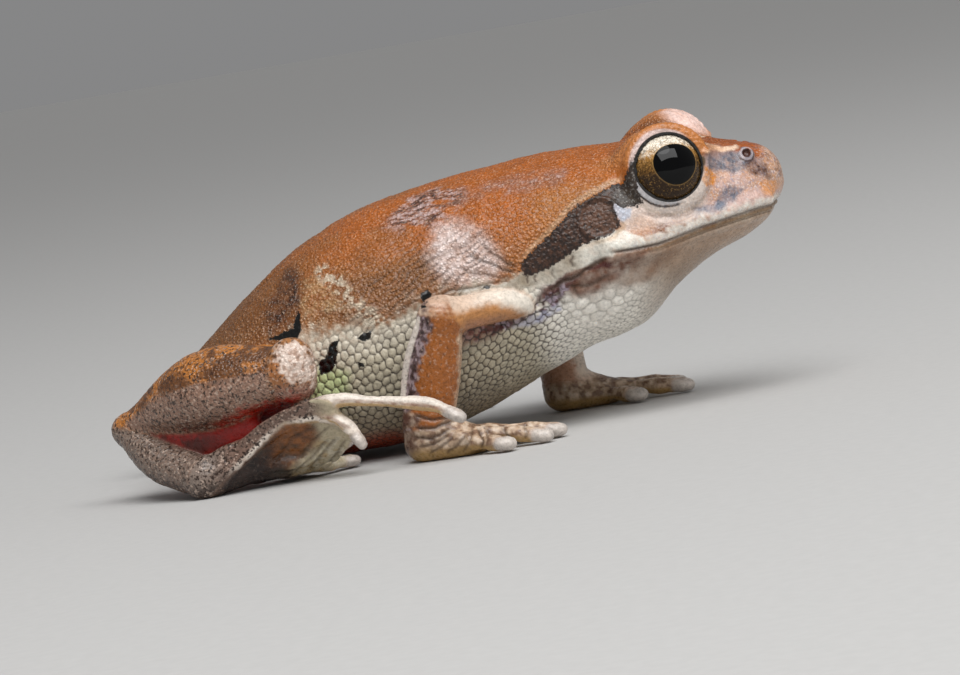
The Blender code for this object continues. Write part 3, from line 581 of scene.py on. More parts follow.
def add_web(first, second, side, reach):
    """A thin membrane from the foot out along two neighbouring toes."""
    one = spline([side_of(p, side) for p in first], 9)
    two = spline([side_of(p, side) for p in second], 9)
    last = max(3, int(reach * 8))
    middles = [(one[i] + two[i]) / 2 for i in range(1, last + 1)]
    spans = [max(0.35, np.linalg.norm(one[i] - two[i]) / 2) for i in range(1, last + 1)]
    spans[-1] *= 0.35
    across = unit(one[last] - two[last])
    along = unit(middles[-1] - middles[0])
    web = tube(middles, spans, [WEB_THICKNESS] * len(middles), np.cross(across, along))
    add_clay(WEB, web, 0.25)


for side, ankle, toes, web_reach in (
    (RIGHT, RIGHT_ANKLE, RIGHT_TOES, RIGHT_WEB_REACH),
    (LEFT, LEFT_ANKLE, LEFT_TOES, LEFT_WEB_REACH),
):
    hip, knee, heel, ankle = (side_of(place, side) for place in (HIP, KNEE, HEEL, ankle))
    instep = np.mean([side_of(way[1], side) for way in toes], axis=0)
    thigh_way = spline((hip, (hip + knee) / 2 + (0, 0, 0.2), knee), len(THIGH_GIRTH))
    add_clay(THIGH, tube(thigh_way, THIGH_GIRTH), 0.15, [(hip, 5.5, 1.1)])
    shank_way = spline((knee, (knee + heel) / 2 + (0, side * 0.25, 0.55), heel), len(SHANK_GIRTH))
    add_clay(SHANK, tube(shank_way, SHANK_GIRTH), 0.1)
    cap_way = [side_of(p, side) for p in KNEE_CAP_WAY]
    add_clay(SHANK, tube(cap_way, [KNEE_CAP] * len(cap_way)), 0.3)
    bend = tube([side_of(p, side) for p in BEND_SKIN], BEND_SKIN_HIGH, [BEND_SKIN_THICK] * 4, (0, 1, 0))
    add_clay(THIGH, bend, 0.5)
    tarsus_way = spline((heel, (heel + ankle) / 2 + (-0.3, 0, -0.35), ankle), len(TARSUS_GIRTH))
    add_clay(TARSUS, tube(tarsus_way, TARSUS_GIRTH), 0.1, [(heel, 2.2, 0.6)])
    sole = [side_of(p, side) for p in (toes[1][1], toes[3][1])]
    sole_middle = np.mean(sole, axis=0)
    sole_faces = np.cross(np.subtract(*sole), instep - ankle)
    add_clay(FOOT, ball(ankle, TARSUS_GIRTH[-1]), 0.4)
    sole_way = (ankle, (ankle + sole_middle) / 2, sole_middle)
    add_clay(FOOT, tube(sole_way, SOLE_WIDE, SOLE_DEEP, sole_faces), 0.3, [(ankle, 2.4, 0.6)])
    add_digits(FOOT, toes, side, TOE, TOE_PAD)
    for first, second, reach in zip(toes[:-1], toes[1:], web_reach):
        add_web(first, second, side, reach)


# Sockets, nostrils and the flats that the frog rests on are pressed into the clay last, while it is still
# one block of distances.
SOCKET_EASE = 0.02
FLOOR_MELT = 0.12


def press_ball(centre, radius, melt=0.05):
    """Hollows a ball out of the clay."""
    reach = radius + CLAY_REACH
    low = np.maximum(np.floor((centre - reach) / CLAY_GRAIN).astype(int), clay_first)
    high = np.minimum(np.ceil((centre + reach) / CLAY_GRAIN).astype(int), clay_first + clay_shape - 1)
    axes = [(np.arange(a, b + 1) * CLAY_GRAIN - c) ** 2 for a, b, c in zip(low, high, centre)]
    away = np.sqrt(axes[0][:, None, None] + axes[1][None, :, None] + axes[2][None, None, :])
    window = tuple(slice(a, b) for a, b in zip(low - clay_first, high - clay_first + 1))
    hollow = (radius - away).astype(np.float32)
    near = np.clip(1 - np.abs(clay[window] - hollow) / melt, 0, None)
    clay[window] = np.maximum(clay[window], hollow) + near * near * melt / 4


for side in (RIGHT, LEFT):
    press_ball(leaned(side_of(EYE_CENTRE, side)), EYE_RADIUS + SOCKET_EASE)
    rim = side_of(NOSTRIL_AT, side) + unit(side_of(NOSTRIL_FACES, side)) * NOSTRIL_RIM * 0.83
    press_ball(leaned(rim), NOSTRIL_HOLE, 0.1)
below = -((np.arange(clay_shape[2]) + clay_first[2]) * CLAY_GRAIN).astype(np.float32)
near = np.clip(1 - np.abs(clay - below) / FLOOR_MELT, 0, None)
clay = np.maximum(clay, below) + near * near * FLOOR_MELT / 4


# Skin: one surface cast over the clay, with no seam. It is drawn from the grid as a fine mesh, and its
# folds, cobbles, mouth, eardrums and wrinkles are moved points, so they stand in the mesh itself.
def cast_skin():
    """The clay's surface as points and quads."""
    grid = openvdb.FloatGrid(CLAY_REACH)
    grid.transform = openvdb.createLinearTransform(voxelSize=CLAY_GRAIN)
    solid = np.where(clay > CLAY_REACH * 0.8, CLAY_REACH, clay).astype(np.float32)
    grid.copyFromArray(solid, ijk=tuple(int(v) for v in clay_first), tolerance=0.0)
    points, quads = grid.convertToQuads()
    return points.astype(float), quads.astype(np.int32)


def point_normals(points, quads):
    """The way that each point faces, outwards."""
    a, b, c, d = (points[quads[:, k]] for k in range(4))
    faces = np.cross(c - a, d - b)
    total = np.zeros_like(points)
    for corner in range(4):
        for axis in range(3):
            total[:, axis] += np.bincount(quads[:, corner], faces[:, axis], len(points))
    return total / np.maximum(np.linalg.norm(total, axis=1), 1e-12)[:, None]


def noise(points, size, seed, layers=1):
    """Smooth seeded noise from about -1 to 1, in lumps about as wide as size."""
    points = np.asarray(points, float)
    total, amount, most = np.zeros(len(points)), 1.0, 0.0
    for layer in range(layers):
        table = np.random.default_rng(seed + layer).uniform(-1, 1, (32, 32, 32))
        at = points / size + 7.31 * layer
        base = np.floor(at).astype(int)
        part = at - base
        part = part * part * (3 - 2 * part)
        total += between_corners(base, part, lambda i, j, k: table[i % 32, j % 32, k % 32]) * amount
        most += amount
        amount, size = amount * 0.55, size * 0.5
    return total / most * 1.6


def cobbled(across, along, size, seed):
    """How far each place is from the joints between cobbles laid like a honeycomb, in parts of one."""
    jitter = np.random.default_rng(seed).uniform(-0.26, 0.26, (64, 64, 2))
    row = along / (size * 0.866)
    column = across / size
    base = np.floor(row).astype(int)
    first = np.full(len(row), 9.0)
    second = first.copy()
    for j in (-1, 0, 1, 2):
        line = base + j
        offset = (line % 2) * 0.5
        start = np.floor(column - offset).astype(int)
        for i in (-1, 0, 1, 2):
            cell = start + i
            shift = jitter[line % 64, cell % 64]
            away = np.hypot(column - offset - cell - shift[:, 0], (row - line - shift[:, 1]) * 0.866)
            second = np.minimum(second, np.maximum(first, away))
            first = np.minimum(first, away)
    return second - first


def line_distance(flat, line):
    """Distance from places in a plane to a line of points there, and how far along it each one is."""
    line = np.asarray(line, float)
    best = np.full(len(flat), 1e9)
    along = np.zeros(len(flat))
    for index, (a, b) in enumerate(zip(line[:-1], line[1:])):
        t = np.clip(((flat - a) @ (b - a)) / max((b - a) @ (b - a), 1e-9), 0, 1)
        away = np.linalg.norm(flat - a - t[:, None] * (b - a), axis=1)
        nearer = away < best
        best[nearer] = away[nearer]
        along[nearer] = ((index + t) / (len(line) - 1))[nearer]
    return best, along


def inside(flat, outline, reach=1.5):
    """Distance in from an outline in a plane, negative outside it."""
    outline = np.asarray(outline, float)
    result = np.full(len(flat), -reach)
    near = np.all((flat > outline.min(axis=0) - reach) & (flat < outline.max(axis=0) + reach), axis=1)
    places = flat[near]
    closed = np.vstack([outline, outline[:1]])
    away = line_distance(places, closed)[0]
    within = np.zeros(len(places), bool)
    for a, b in zip(closed[:-1], closed[1:]):
        crosses = (a[1] > places[:, 1]) != (b[1] > places[:, 1])
        level = b[1] - a[1] if b[1] != a[1] else 1e-9
        within ^= crosses & (places[:, 0] < (b[0] - a[0]) * (places[:, 1] - a[1]) / level + a[0])
    result[near] = np.where(within, away, -away)
    return np.maximum(result, -reach)


skin_points, skin_quads = cast_skin()
skin_facing = point_normals(skin_points, skin_quads)
middle = skin_points.mean(axis=0)
if np.mean(np.einsum("ij,ij->i", skin_facing, skin_points - middle)) < 0:
    skin_quads = skin_quads[:, ::-1].copy()
    skin_facing = -skin_facing
skin_edges = np.sort(np.vstack([skin_quads[:, [k, (k + 1) % 4]] for k in range(4)]), axis=1)
skin_edges = np.unique(skin_edges, axis=0)
edge_count = np.maximum(np.bincount(skin_edges.ravel(), minlength=len(skin_points)), 1)


def evened(values, rounds):
    """Values evened out over the skin, each towards its neighbours' mean."""
    values = np.asarray(values, float)
    columns = values[:, None] if values.ndim == 1 else values
    one, two = skin_edges.T
    for _ in range(rounds):
        total = np.stack([
            np.bincount(one, column[two], len(column)) + np.bincount(two, column[one], len(column))
            for column in columns.T
        ], axis=1)
        columns = (columns + total / edge_count[:, None]) / 2
    return columns[:, 0] if values.ndim == 1 else columns


under_skin = np.round((skin_points - skin_facing * 0.12) / CLAY_GRAIN).astype(int) - clay_first
kinds = clay_kind[tuple(np.clip(under_skin, 0, clay_shape - 1).T)]
share = {kind: evened(kinds == kind, 6) for kind in range(TRUNK, WEB + 1)}
trunk = share[TRUNK] + share[LIDS]
skin_points = evened(skin_points, 1)

# Places on the skin, upright with the trunk and mirrored to one side; flat ones look at it from the side.
RIGHT_FOOT_OUT = 12.8
body = upright(skin_points)
right = body[:, 1] < 0
x, out, z = body[:, 0], np.abs(body[:, 1]), body[:, 2]
flat = np.column_stack([x, z])
limb = skin_points.copy()
limb[:, 1] = np.abs(limb[:, 1])
limb_x, limb_out, limb_z = limb.T
limb_side = limb[:, [0, 2]]
wander = np.column_stack([noise(body, 0.7, 71, 2), noise(body, 0.7, 75, 2)]) * 0.16
rough_flat = flat + wander
head = rise(x, 11.0, 13.0) * trunk
right_foot = right * (limb_out < RIGHT_FOOT_OUT)

BELLY_LINE = (
    (-14.0, 5.2), (-9.5, 6.6), (-6.8, 7.5), (-4.4, 8.0), (-2.0, 7.9), (0.6, 8.5), (3.8, 8.7), (5.5, 8.6),
    (7.4, 8.5), (9.2, 9.0), (11.4, 9.4),
)
BAND = (
    (13.35, 13.05), (12.58, 13.16), (11.99, 13.06), (11.1, 12.8), (10.08, 12.43), (9.4, 12.1), (8.81, 11.6),
    (7.84, 10.87), (7.08, 10.39), (6.3, 9.79), (6.12, 9.36), (6.34, 8.99), (6.9, 8.95), (7.54, 9.1),
    (8.46, 9.46), (9.01, 9.71), (9.71, 10.16), (10.72, 10.35), (11.58, 10.43), (12.16, 10.86), (12.07, 11.33),
    (11.86, 12.1), (12.78, 11.91), (13.4, 12.0),
)
BEHIND_EYE = (
    (11.86, 12.2), (12.23, 12.76), (12.7, 13.3), (13.1, 14.0), (13.55, 14.6), (13.75, 13.9), (13.5, 13.44),
    (13.35, 12.62), (13.55, 11.85), (13.19, 11.65), (12.7, 11.8), (12.26, 11.85),
)
FOLDS = (
    # Line, how wide, how deep (negative stands out), how dark the shade painted in it is
    (((6.2, 9.6), (5.4, 9.95), (4.7, 10.6), (4.2, 11.2)), 0.11, 0.09, 0.6),
    (((6.1, 9.35), (5.1, 9.65), (4.05, 10.3), (3.3, 10.85)), 0.11, 0.09, 0.7),
    (((5.9, 9.1), (4.7, 9.3), (3.4, 9.75), (2.4, 10.3)), 0.10, 0.07, 0.5),
    (((5.8, 8.95), (4.4, 9.0), (3.0, 8.92), (1.7, 8.97)), 0.10, 0.08, 0.6),
    (((4.6, 12.0), (3.1, 11.2), (1.6, 10.9), (-0.4, 9.9)), 0.13, 0.06, 0.3),
    (((-1.0, 10.8), (-2.5, 10.0), (-3.0, 9.2)), 0.18, 0.05, 0.2),
    (((-4.5, 9.0), (-5.6, 8.4), (-6.2, 7.2)), 0.18, 0.06, 0.2),
    (((8.3, 7.65), (7.4, 7.3), (6.4, 7.2), (5.5, 6.95), (4.4, 6.5), (3.0, 6.2)), 0.2, 0.14, 0.2),
    (((8.3, 8.3), (8.1, 7.8), (8.0, 7.2), (8.4, 6.6)), 0.13, 0.10, 0.6),
    (((9.0, 8.0), (9.0, 7.5), (9.3, 6.9)), 0.12, 0.08, 0.5),
    (((11.4, 9.3), (10.3, 9.05), (9.5, 8.55), (8.9, 8.35), (8.2, 8.2), (7.4, 7.9)), 0.15, 0.14, 0.85),
    (((9.3, 9.7), (9.05, 9.35), (9.15, 8.95)), 0.08, 0.08, 0.7),
    (((8.0, 9.15), (7.85, 8.85), (8.0, 8.5)), 0.07, 0.06, 0.5),
    (((6.6, 9.1), (6.45, 8.8), (6.5, 8.5)), 0.07, 0.06, 0.8),
    (((7.1, 9.0), (6.9, 8.75), (6.95, 8.5)), 0.06, 0.05, 0.8),
    (((11.2, 8.3), (10.3, 7.95), (9.4, 7.8), (8.5, 7.9)), 0.12, 0.09, 0.55),
    (((12.9, 8.5), (11.8, 7.9), (11.0, 6.8)), 0.25, 0.06, 0.1),
    (((12.4, 13.5), (11.6, 13.3), (10.6, 12.95), (9.4, 12.5), (8.4, 11.8), (7.2, 10.9)), 0.30, -0.10, 0),
    (((17.2, 14.2), (17.9, 13.85), (18.8, 13.65), (19.3, 13.65)), 0.22, -0.12, 0),
    (((17.4, 13.0), (18.4, 12.9), (19.3, 12.6)), 0.55, 0.14, 0),
    (((13.35, 11.35), (14.4, 10.85), (15.6, 10.65), (16.8, 11.1)), 0.10, 0.07, 0.25),
    (((13.4, 11.0), (14.6, 10.4), (16.0, 10.3)), 0.22, -0.05, 0),
    (((-7.4, 9.6), (-8.6, 10.6), (-10.2, 10.2)), 0.5, 0.08, 0),
)
HAND_FOLDS = (
    # Line from the side, how wide, how deep, how dark the shade painted in it is
    (((-0.9, 2.7), (0.1, 2.35), (1.4, 2.3)), 0.10, 0.09, 0.8),
    (((-1.0, 2.1), (0.2, 1.9), (1.6, 2.15)), 0.11, 0.10, 0.9),
    (((-1.1, 1.5), (0.0, 1.3), (1.2, 1.8)), 0.10, 0.09, 0.85),
    (((-0.9, 0.9), (0.1, 1.0), (1.1, 1.6)), 0.09, 0.08, 0.8),
    (((-0.4, 0.4), (0.5, 0.8), (1.3, 1.4)), 0.08, 0.07, 0.75),
    (((0.5, 0.3), (1.2, 0.7), (2.0, 1.4)), 0.09, 0.08, 0.7),
    (((1.6, 0.3), (2.0, 0.8), (2.4, 1.6)), 0.07, 0.07, 0.6),
    (((2.6, 0.3), (2.8, 0.8), (2.6, 1.5)), 0.09, 0.09, 0.8),
    (((2.9, 1.5), (3.1, 1.1), (3.0, 0.6)), 0.06, 0.05, 0.6),
    (((3.9, 0.2), (4.1, 0.7), (3.9, 1.3)), 0.09, 0.08, 0.7),
    (((5.1, 0.4), (5.25, 0.8), (5.1, 1.2)), 0.07, 0.06, 0.6),
)
WEB_FOLDS = (
    ((-8.3, 0.3), (-7.0, 1.2), (-5.5, 2.3)), ((-7.4, 0.3), (-6.3, 1.3), (-5.1, 2.3)),
    ((-7.8, 1.2), (-6.6, 2.2), (-5.3, 3.0)), ((-6.5, 0.2), (-5.5, 1.2), (-4.6, 2.1)),
    ((-9.3, 1.2), (-7.6, 2.6), (-6.0, 3.2)),
)
# How wide, how deep and how dark the shade painted in each fold of the web is.
WEB_FOLD = (0.09, 0.07, 0.55)
COBBLE, COBBLE_STANDS = 0.46, 0.07
WRINKLES_APART, WRINKLE_DEEP, WRINKLE_SHADE = 0.35, 0.05, 0.65
GRANULE, GRANULE_STANDS = 0.33, 0.035
UNROLLED_RADIUS = 6.6
PUFF, PUFF_STANDS = 0.8, 0.10
PUFFS = (
    (8.1, 7.2), (8.4, 5.9), (9.3, 5.0), (10.55, 5.4), (11.9, 6.4), (13.1, 7.1), (11.6, 7.6), (9.9, 7.4),
)
MOUTH_WIDE, MOUTH_DEEP = 0.10, 0.15


def level_on(line, at):
    """The height of a line, seen from the side, at some places along it."""
    return np.interp(at, *np.transpose(line))


mouth_z = level_on(MOUTH_LINE[::-1], x)
under_mouth = mouth_z - z
belly_edge = level_on(BELLY_LINE, x)
belly_edge = np.where(x > 11.4, mouth_z - 0.35, belly_edge)
under_line = belly_edge - z + 0.3 * noise(body, 0.8, 21, 3)
under_side = rise(under_line, -0.5, 0.6) * trunk

sink, crease_shade_and_joints = np.zeros(len(skin_points)), np.zeros(len(skin_points))


def fold(places, line, width, depth, darkness, mask):
    """Presses a fold along a line, eased out at its ends, and keeps how dark the shade painted in it is."""
    global sink, crease_shade_and_joints
    away, along = line_distance(places, line)
    pressed = np.exp(-((away / width) ** 2)) * rise(along, 0.0, 0.15) * rise(-along, -1.0, -0.85) * mask
    sink = sink + depth * pressed
    crease_shade_and_joints = np.maximum(crease_shade_and_joints, darkness * pressed)


for line, width, depth, darkness in FOLDS:
    fold(flat + wander * 0.5, line, width, depth, darkness, trunk * (out > 1.0))
right_hand = (share[HAND] + share[FOREARM]) * (limb_out > 9)
for line, width, depth, darkness in HAND_FOLDS:
    fold(limb_side + wander * 0.4, line, width, depth, darkness, right_hand)
for line in WEB_FOLDS:
    fold(limb_side + wander * 0.5, line, *WEB_FOLD, (share[WEB] + share[FOOT]) * right_foot)
mouth = np.exp(-((under_mouth / MOUTH_WIDE) ** 2)) * rise(x, 10.8, 12.0) * trunk
sink += MOUTH_DEEP * mouth
# The mouth's slit painted dark, partly its own brown and partly painted shade in the slit.
crease_shade_and_joints = np.maximum(crease_shade_and_joints, mouth * (0.85 - 0.4 * rise(x, 13.0, 16.0)))
below_lip = np.exp(-(((under_mouth - 0.32) / 0.10) ** 2)) * rise(x, 12.6, 14.0) * trunk
sink += 0.05 * below_lip
for side in (RIGHT, LEFT):
    drum, outward = side_point(*EARDRUM_AT, side)
    away = np.linalg.norm(body - drum, axis=1)
    sink += 0.03 * (1 - rise(away, 0.7, 1.1)) * (away < 1.6)

slant = (z - 0.55 * x) / 1.14
wrinkled = rise(under_line, -4.4, -2.2) * rise(-under_line, -1.0, -0.1) * rise(x, -4.8, -3.2)
wrinkled = wrinkled * rise(-x, -5.8, -4.0) * trunk * (out > 3)
phase = (slant + noise(body, 1.1, 81, 2) * 0.24) / WRINKLES_APART
gap = np.abs(phase - np.round(phase))
wrinkle_line = (1 - rise(gap, 0.03, 0.24)) * (0.35 + 0.65 * rise(noise(body, 0.9, 85, 2), -0.3, 0.3))
sink += wrinkled * wrinkle_line * WRINKLE_DEEP
# Each wrinkle's groove is painted dark as well: painted shade.
crease_shade_and_joints = np.maximum(crease_shade_and_joints, wrinkled * wrinkle_line * WRINKLE_SHADE)

rows = [(s[0] + s[2]) / 2 for s in TRUNK_SECTIONS], [s[3] + s[5] * (s[1] - s[3]) for s in TRUNK_SECTIONS]
waist = np.interp(x, *rows)
unrolled = np.arctan2(body[:, 1], waist - z) * UNROLLED_RADIUS


def cobbled_where(share_here, size, seed):
    """Cobbles of one size where a share of them is asked for, and none elsewhere."""
    laid = np.ones(len(skin_points))
    needs = share_here > 0.02
    laid[needs] = cobbled(x[needs], unrolled[needs], size, seed)
    return laid


cobble = cobbled_where(under_side, COBBLE, 31)
puffed = rise(inside(flat, PUFFS), -0.3, 0.6) * under_side
plain = (1 - 0.4 * rise(x, 6.5, 9.0) - 0.45 * rise(x, 11.5, 14.0)) * (1 - 0.85 * puffed)
plain = plain * (1 - 0.8 * rise(x, 7.6, 9.2) * rise(z, 6.6, 7.5))
puff = cobbled_where(puffed, PUFF, 33)
sink -= puffed * PUFF_STANDS * (rise(puff, 0.0, 0.6) - 0.5)
crease_shade_and_joints = np.maximum(crease_shade_and_joints, puffed * (1 - rise(puff, 0.02, 0.16)) * 0.4)
cobble_top = rise(cobble, 0.0, 0.5)
sink += under_side * plain * COBBLE_STANDS * (1 - cobble_top) ** 1.5
back = np.clip(trunk * (1 - rise(under_line, -0.9, 0.3)) * (1 - head * rise(-z, -14.2, -13.6)), 0, 1)
granules = cobbled_where(back, GRANULE, 35)
sink += back * GRANULE_STANDS * (1 - rise(granules, 0.0, 0.5))
rolling = noise(body, 1.5, 41, 2) * 0.05 + noise(body, 0.6, 45, 2) * 0.02
wrinkle = noise(skin_points * (1, 1, 1.6), 0.42, 51, 2)
limbs = 1 - trunk
sink -= rolling * (trunk + limbs * 0.6) * (1 - share[LIDS] * 0.6) * (1 - 0.6 * head)
sink += limbs * np.abs(wrinkle) * 0.03
skin_points = skin_points - skin_facing * sink[:, None]
skin_points[:, 2] = np.maximum(skin_points[:, 2], 0.0)


# Skin colour: laid on in soft washes, from the brown back to the cream belly, then the markings. The
# paint is a tint at each point of the skin, and the sharp-edged marks are kept as distances.
BACK_TOP, BACK_SIDE, RUMP = (0.44, 0.112, 0.008), (0.36, 0.125, 0.024), (0.15, 0.062, 0.016)
HEAD_TOP, NECK_SIDE = (0.20, 0.06, 0.007), (0.42, 0.15, 0.03)
FLANK_PALE, FLANK_TAN, FLANK_BROWN = (0.62, 0.56, 0.45), (0.34, 0.18, 0.08), (0.20, 0.085, 0.03)
BELLY, BELLY_LOW_SHADE = (0.50, 0.445, 0.33), (0.30, 0.225, 0.145)
CHEST, THROAT_SHADE, JAW = (0.92, 0.88, 0.80), (0.34, 0.24, 0.165), (0.48, 0.335, 0.235)
JAW_TAN, JAW_SHADE = (0.19, 0.11, 0.045), (0.15, 0.055, 0.025)
LIP, CHEEK, PEARL = (0.70, 0.65, 0.58), (0.70, 0.57, 0.50), (0.76, 0.73, 0.65)
LOREAL, LOREAL_GREY = (0.56, 0.38, 0.33), (0.10, 0.115, 0.15)
SNOUT_TOP, SNOUT_TIP = (0.34, 0.075, 0.004), (0.56, 0.34, 0.23)
LID_ORANGE, LID_RIM, LID_LOW = (0.50, 0.18, 0.045), (0.68, 0.52, 0.48), (0.66, 0.58, 0.52)
SHEEN, LAVENDER, DARK_PATCH = (0.88, 0.74, 0.70), (0.30, 0.17, 0.14), (0.045, 0.022, 0.014)
SHEEN_PATCH = (
    (1.9, 12.1), (2.9, 12.3), (3.95, 11.6), (4.7, 10.8), (4.9, 9.9), (4.2, 9.3), (3.0, 9.3), (2.0, 9.9),
    (1.4, 10.9),
)
RUMP_PATCH = (
    (-8.0, 10.1), (-7.4, 10.9), (-6.7, 11.0), (-6.55, 10.0), (-6.9, 9.2), (-7.6, 8.5), (-8.6, 8.1), (-8.6, 9.2),
)
LAVENDER_PATCH = (
    (-1.0, 4.0), (-0.3, 2.7), (0.9, 2.0), (2.4, 2.4), (3.5, 3.7), (3.0, 4.6), (1.5, 5.0), (0.0, 4.8),
)
LAVENDER_TRAIL = ((3.2, 4.4), (3.6, 3.4), (5.6, 3.2), (8.4, 3.4), (9.6, 4.0), (8.6, 4.7), (6.0, 4.6))
WHITE_STRIPE = (
    (13.2, 10.0), (12.3, 10.45), (11.5, 10.75), (10.3, 10.5), (9.2, 10.1), (8.4, 9.7), (7.5, 9.4), (6.6, 9.3),
    (6.1, 9.2), (5.1, 8.8), (4.0, 8.95), (2.6, 9.0), (2.6, 8.6), (5.6, 8.3), (6.6, 8.3), (7.45, 8.4),
    (8.3, 8.57), (9.2, 8.92), (10.3, 9.32), (11.2, 9.45), (12.4, 9.45), (13.2, 9.5),
)
JAW_BROWN = (
    (8.7, 8.75), (9.6, 8.96), (10.2, 9.02), (11.0, 9.2), (11.8, 9.12), (12.7, 9.2), (13.4, 9.25), (12.4, 8.6),
    (11.4, 8.1), (10.4, 7.6), (9.9, 7.2), (9.0, 7.4), (8.2, 7.7), (7.5, 7.5), (7.7, 8.0), (8.2, 8.3),
)
JAW_RED = (
    ((8.0, 8.1), (8.6, 8.2), (9.3, 8.35)), ((9.9, 8.85), (10.5, 8.9), (11.2, 8.85)),
    ((7.5, 7.6), (7.9, 7.8), (8.3, 7.7)),
)
JAW_WASH = (
    (8.8, 8.8), (11.0, 9.15), (13.5, 9.25), (15.5, 9.4), (14.6, 8.6), (13.1, 7.6), (11.4, 7.3), (10.0, 7.0),
    (9.0, 7.3),
)
ARM_PIT = ((6.9, 7.6), (7.5, 8.2), (8.2, 8.5), (8.9, 8.4), (8.7, 7.6), (7.9, 7.2), (7.1, 7.1))
BUMP_BAND = ((-5.1, 10.9), (-4.35, 10.3), (-3.55, 9.5), (-2.6, 8.3), (-1.8, 7.7), (-1.0, 7.4))
DRUM_BLUE = ((11.75, 12.15), (12.35, 12.05), (12.86, 11.67), (12.68, 11.27), (12.35, 11.1), (12.15, 11.4))
LOREAL_PATCH = (
    (17.4, 13.95), (18.2, 13.65), (19.1, 13.35), (19.7, 13.05), (19.5, 12.75), (18.9, 12.65), (18.1, 12.75),
    (17.4, 13.1),
)
UNDER_NOSTRIL = (
    (19.5, 12.85), (19.9, 12.95), (20.4, 12.6), (20.7, 12.0), (20.75, 11.7), (20.2, 11.95), (19.7, 12.4),
)
ORANGE_SPOT = ((17.2, 13.1), (17.66, 12.92), (17.81, 12.45), (17.58, 12.08), (17.2, 12.13), (17.1, 12.67))
BLUE_STREAK = (
    (17.4, 11.03), (18.0, 11.7), (18.5, 11.8), (19.1, 11.45), (18.6, 11.1), (17.9, 10.82), (17.0, 10.75),
    (16.3, 10.72), (16.2, 10.88), (16.9, 11.0),
)
CANTHUS = (
    (16.7, 14.3), (17.0, 14.1), (17.25, 13.75), (17.2, 13.35), (17.0, 12.95), (16.75, 12.75), (16.7, 13.5),
)
SNOUT_PATCH = ((20.1, 11.5), (20.65, 11.5), (21.1, 11.1), (20.75, 10.7), (20.2, 10.9))
CANTHAL_LINE = ((17.1, 14.3), (17.55, 13.98), (18.2, 13.68), (18.95, 13.57), (19.25, 13.66))
LIP_TOP = (
    (12.0, 10.0), (13.1, 9.98), (14.25, 10.08), (16.6, 10.45), (17.7, 10.52), (18.9, 10.65), (20.9, 10.6),
)
MAROON = ((8.3, 7.75), (7.7, 7.4), (7.0, 7.15), (6.2, 6.95), (5.3, 6.75), (4.4, 6.45), (3.6, 6.25), (2.8, 6.3))
CHEST_BLUE_GLINTS = ((7.8, 7.2), (7.4, 7.0), (6.3, 6.65), (5.3, 6.3), (6.7, 6.1), (7.9, 6.6))
GREEN_TINT = ((-6.6, 5.7), (-5.9, 5.45), (-5.2, 5.5), (-4.5, 5.2), (-5.0, 3.7), (-6.7, 3.9))
BLOTCHES = (
    (
        (-8.9, 7.7), (-7.95, 7.95), (-7.2, 8.2), (-6.9, 8.9), (-6.75, 9.05), (-6.62, 8.9), (-6.7, 8.0),
        (-6.95, 7.6), (-7.6, 7.45),
    ),
    (
        (-5.95, 6.2), (-5.55, 6.35), (-5.3, 6.7), (-5.15, 7.1), (-4.55, 7.3), (-4.7, 6.7), (-4.9, 6.0),
        (-5.3, 5.5), (-5.95, 5.35),
    ),
    ((-3.55, 7.2), (-3.1, 7.45), (-2.5, 7.55), (-2.7, 7.1), (-3.1, 6.98)),
    ((-3.7, 5.86), (-3.4, 5.84), (-3.32, 5.5), (-3.68, 5.6)),
    ((0.42, 9.05), (0.85, 9.2), (1.08, 8.92), (0.84, 8.55), (0.5, 8.4)),
    ((3.8, 8.8), (4.15, 8.95), (4.42, 8.85), (4.25, 8.7)),
)
LEFT_SHIFT = (1.3, 0.4)

tint = np.zeros((len(skin_points), 3))


def lay(mask, colour):
    """A wash of one colour over the tint, as strong as the mask."""
    global tint
    tint = tint + (np.asarray(colour) - tint) * np.clip(mask, 0, 1)[:, None]


def patch(outline, soft, places=None):
    """A painted patch of the trunk with a soft, wandering edge."""
    return rise(inside(rough_flat if places is None else places, outline), -soft, soft * 0.4) * trunk


def stroke(places, line, width, soft):
    """A painted line of some width, soft at its edges."""
    return rise(-line_distance(places, line)[0], -width - soft, -width)


upward, ahead = skin_facing[:, 2], skin_facing[:, 0]
outer = rise(out, 0.8, 1.6)
lumps, freckles, dots = noise(body, 0.9, 61, 3), noise(body, 0.32, 65, 2), noise(body, 0.2, 67, 1)
lay(np.ones(len(tint)), BACK_TOP)
lay(rise(-z, -13.0, -9.8) * 0.85, BACK_SIDE)
lay(rise(-x, 3.5, 12.0) * 0.9, RUMP)
lay(rise(x, 12.0, 14.5), HEAD_TOP)
lay(rise(x, 6.0, 8.5) * rise(-z, -14.2, -12.8) * rise(-x, -13, -11), NECK_SIDE)
tan = rise(under_line, -2.4, -0.2) * rise(-x, -6.5, -3.5)
lay(tan * (0.45 + 0.3 * lumps), FLANK_TAN)
browned = rise(x, -6.2, -3.6) * rise(-x, -3.6, -1.8) * rise(under_line, -3.6, -2.0)
lay(browned * (0.75 + 0.3 * lumps), FLANK_BROWN)
tanned = rise(-np.hypot((x + 5.2) / 2.6, (z - 9.6) / 2.2), -1.0, -0.3) * trunk
lay(tanned * (0.4 + 0.7 * freckles), (0.46, 0.28, 0.13))
lay(rise(noise(body, 2.6, 101, 2), 0.0, 0.6) * rise(-x, -5.0, -1.0) * trunk * 0.45, (0.23, 0.09, 0.018))
lay(patch(SHEEN_PATCH, 0.9) * (0.85 + 0.4 * freckles), SHEEN)
fleck_rows = noise(body * (0.6, 1, 1.4), 0.2, 103, 2)
top_flat = np.column_stack([x, out]) + wander
lavender = patch(LAVENDER_PATCH, 0.7, top_flat) * rise(upward, 0.1, 0.5) * right
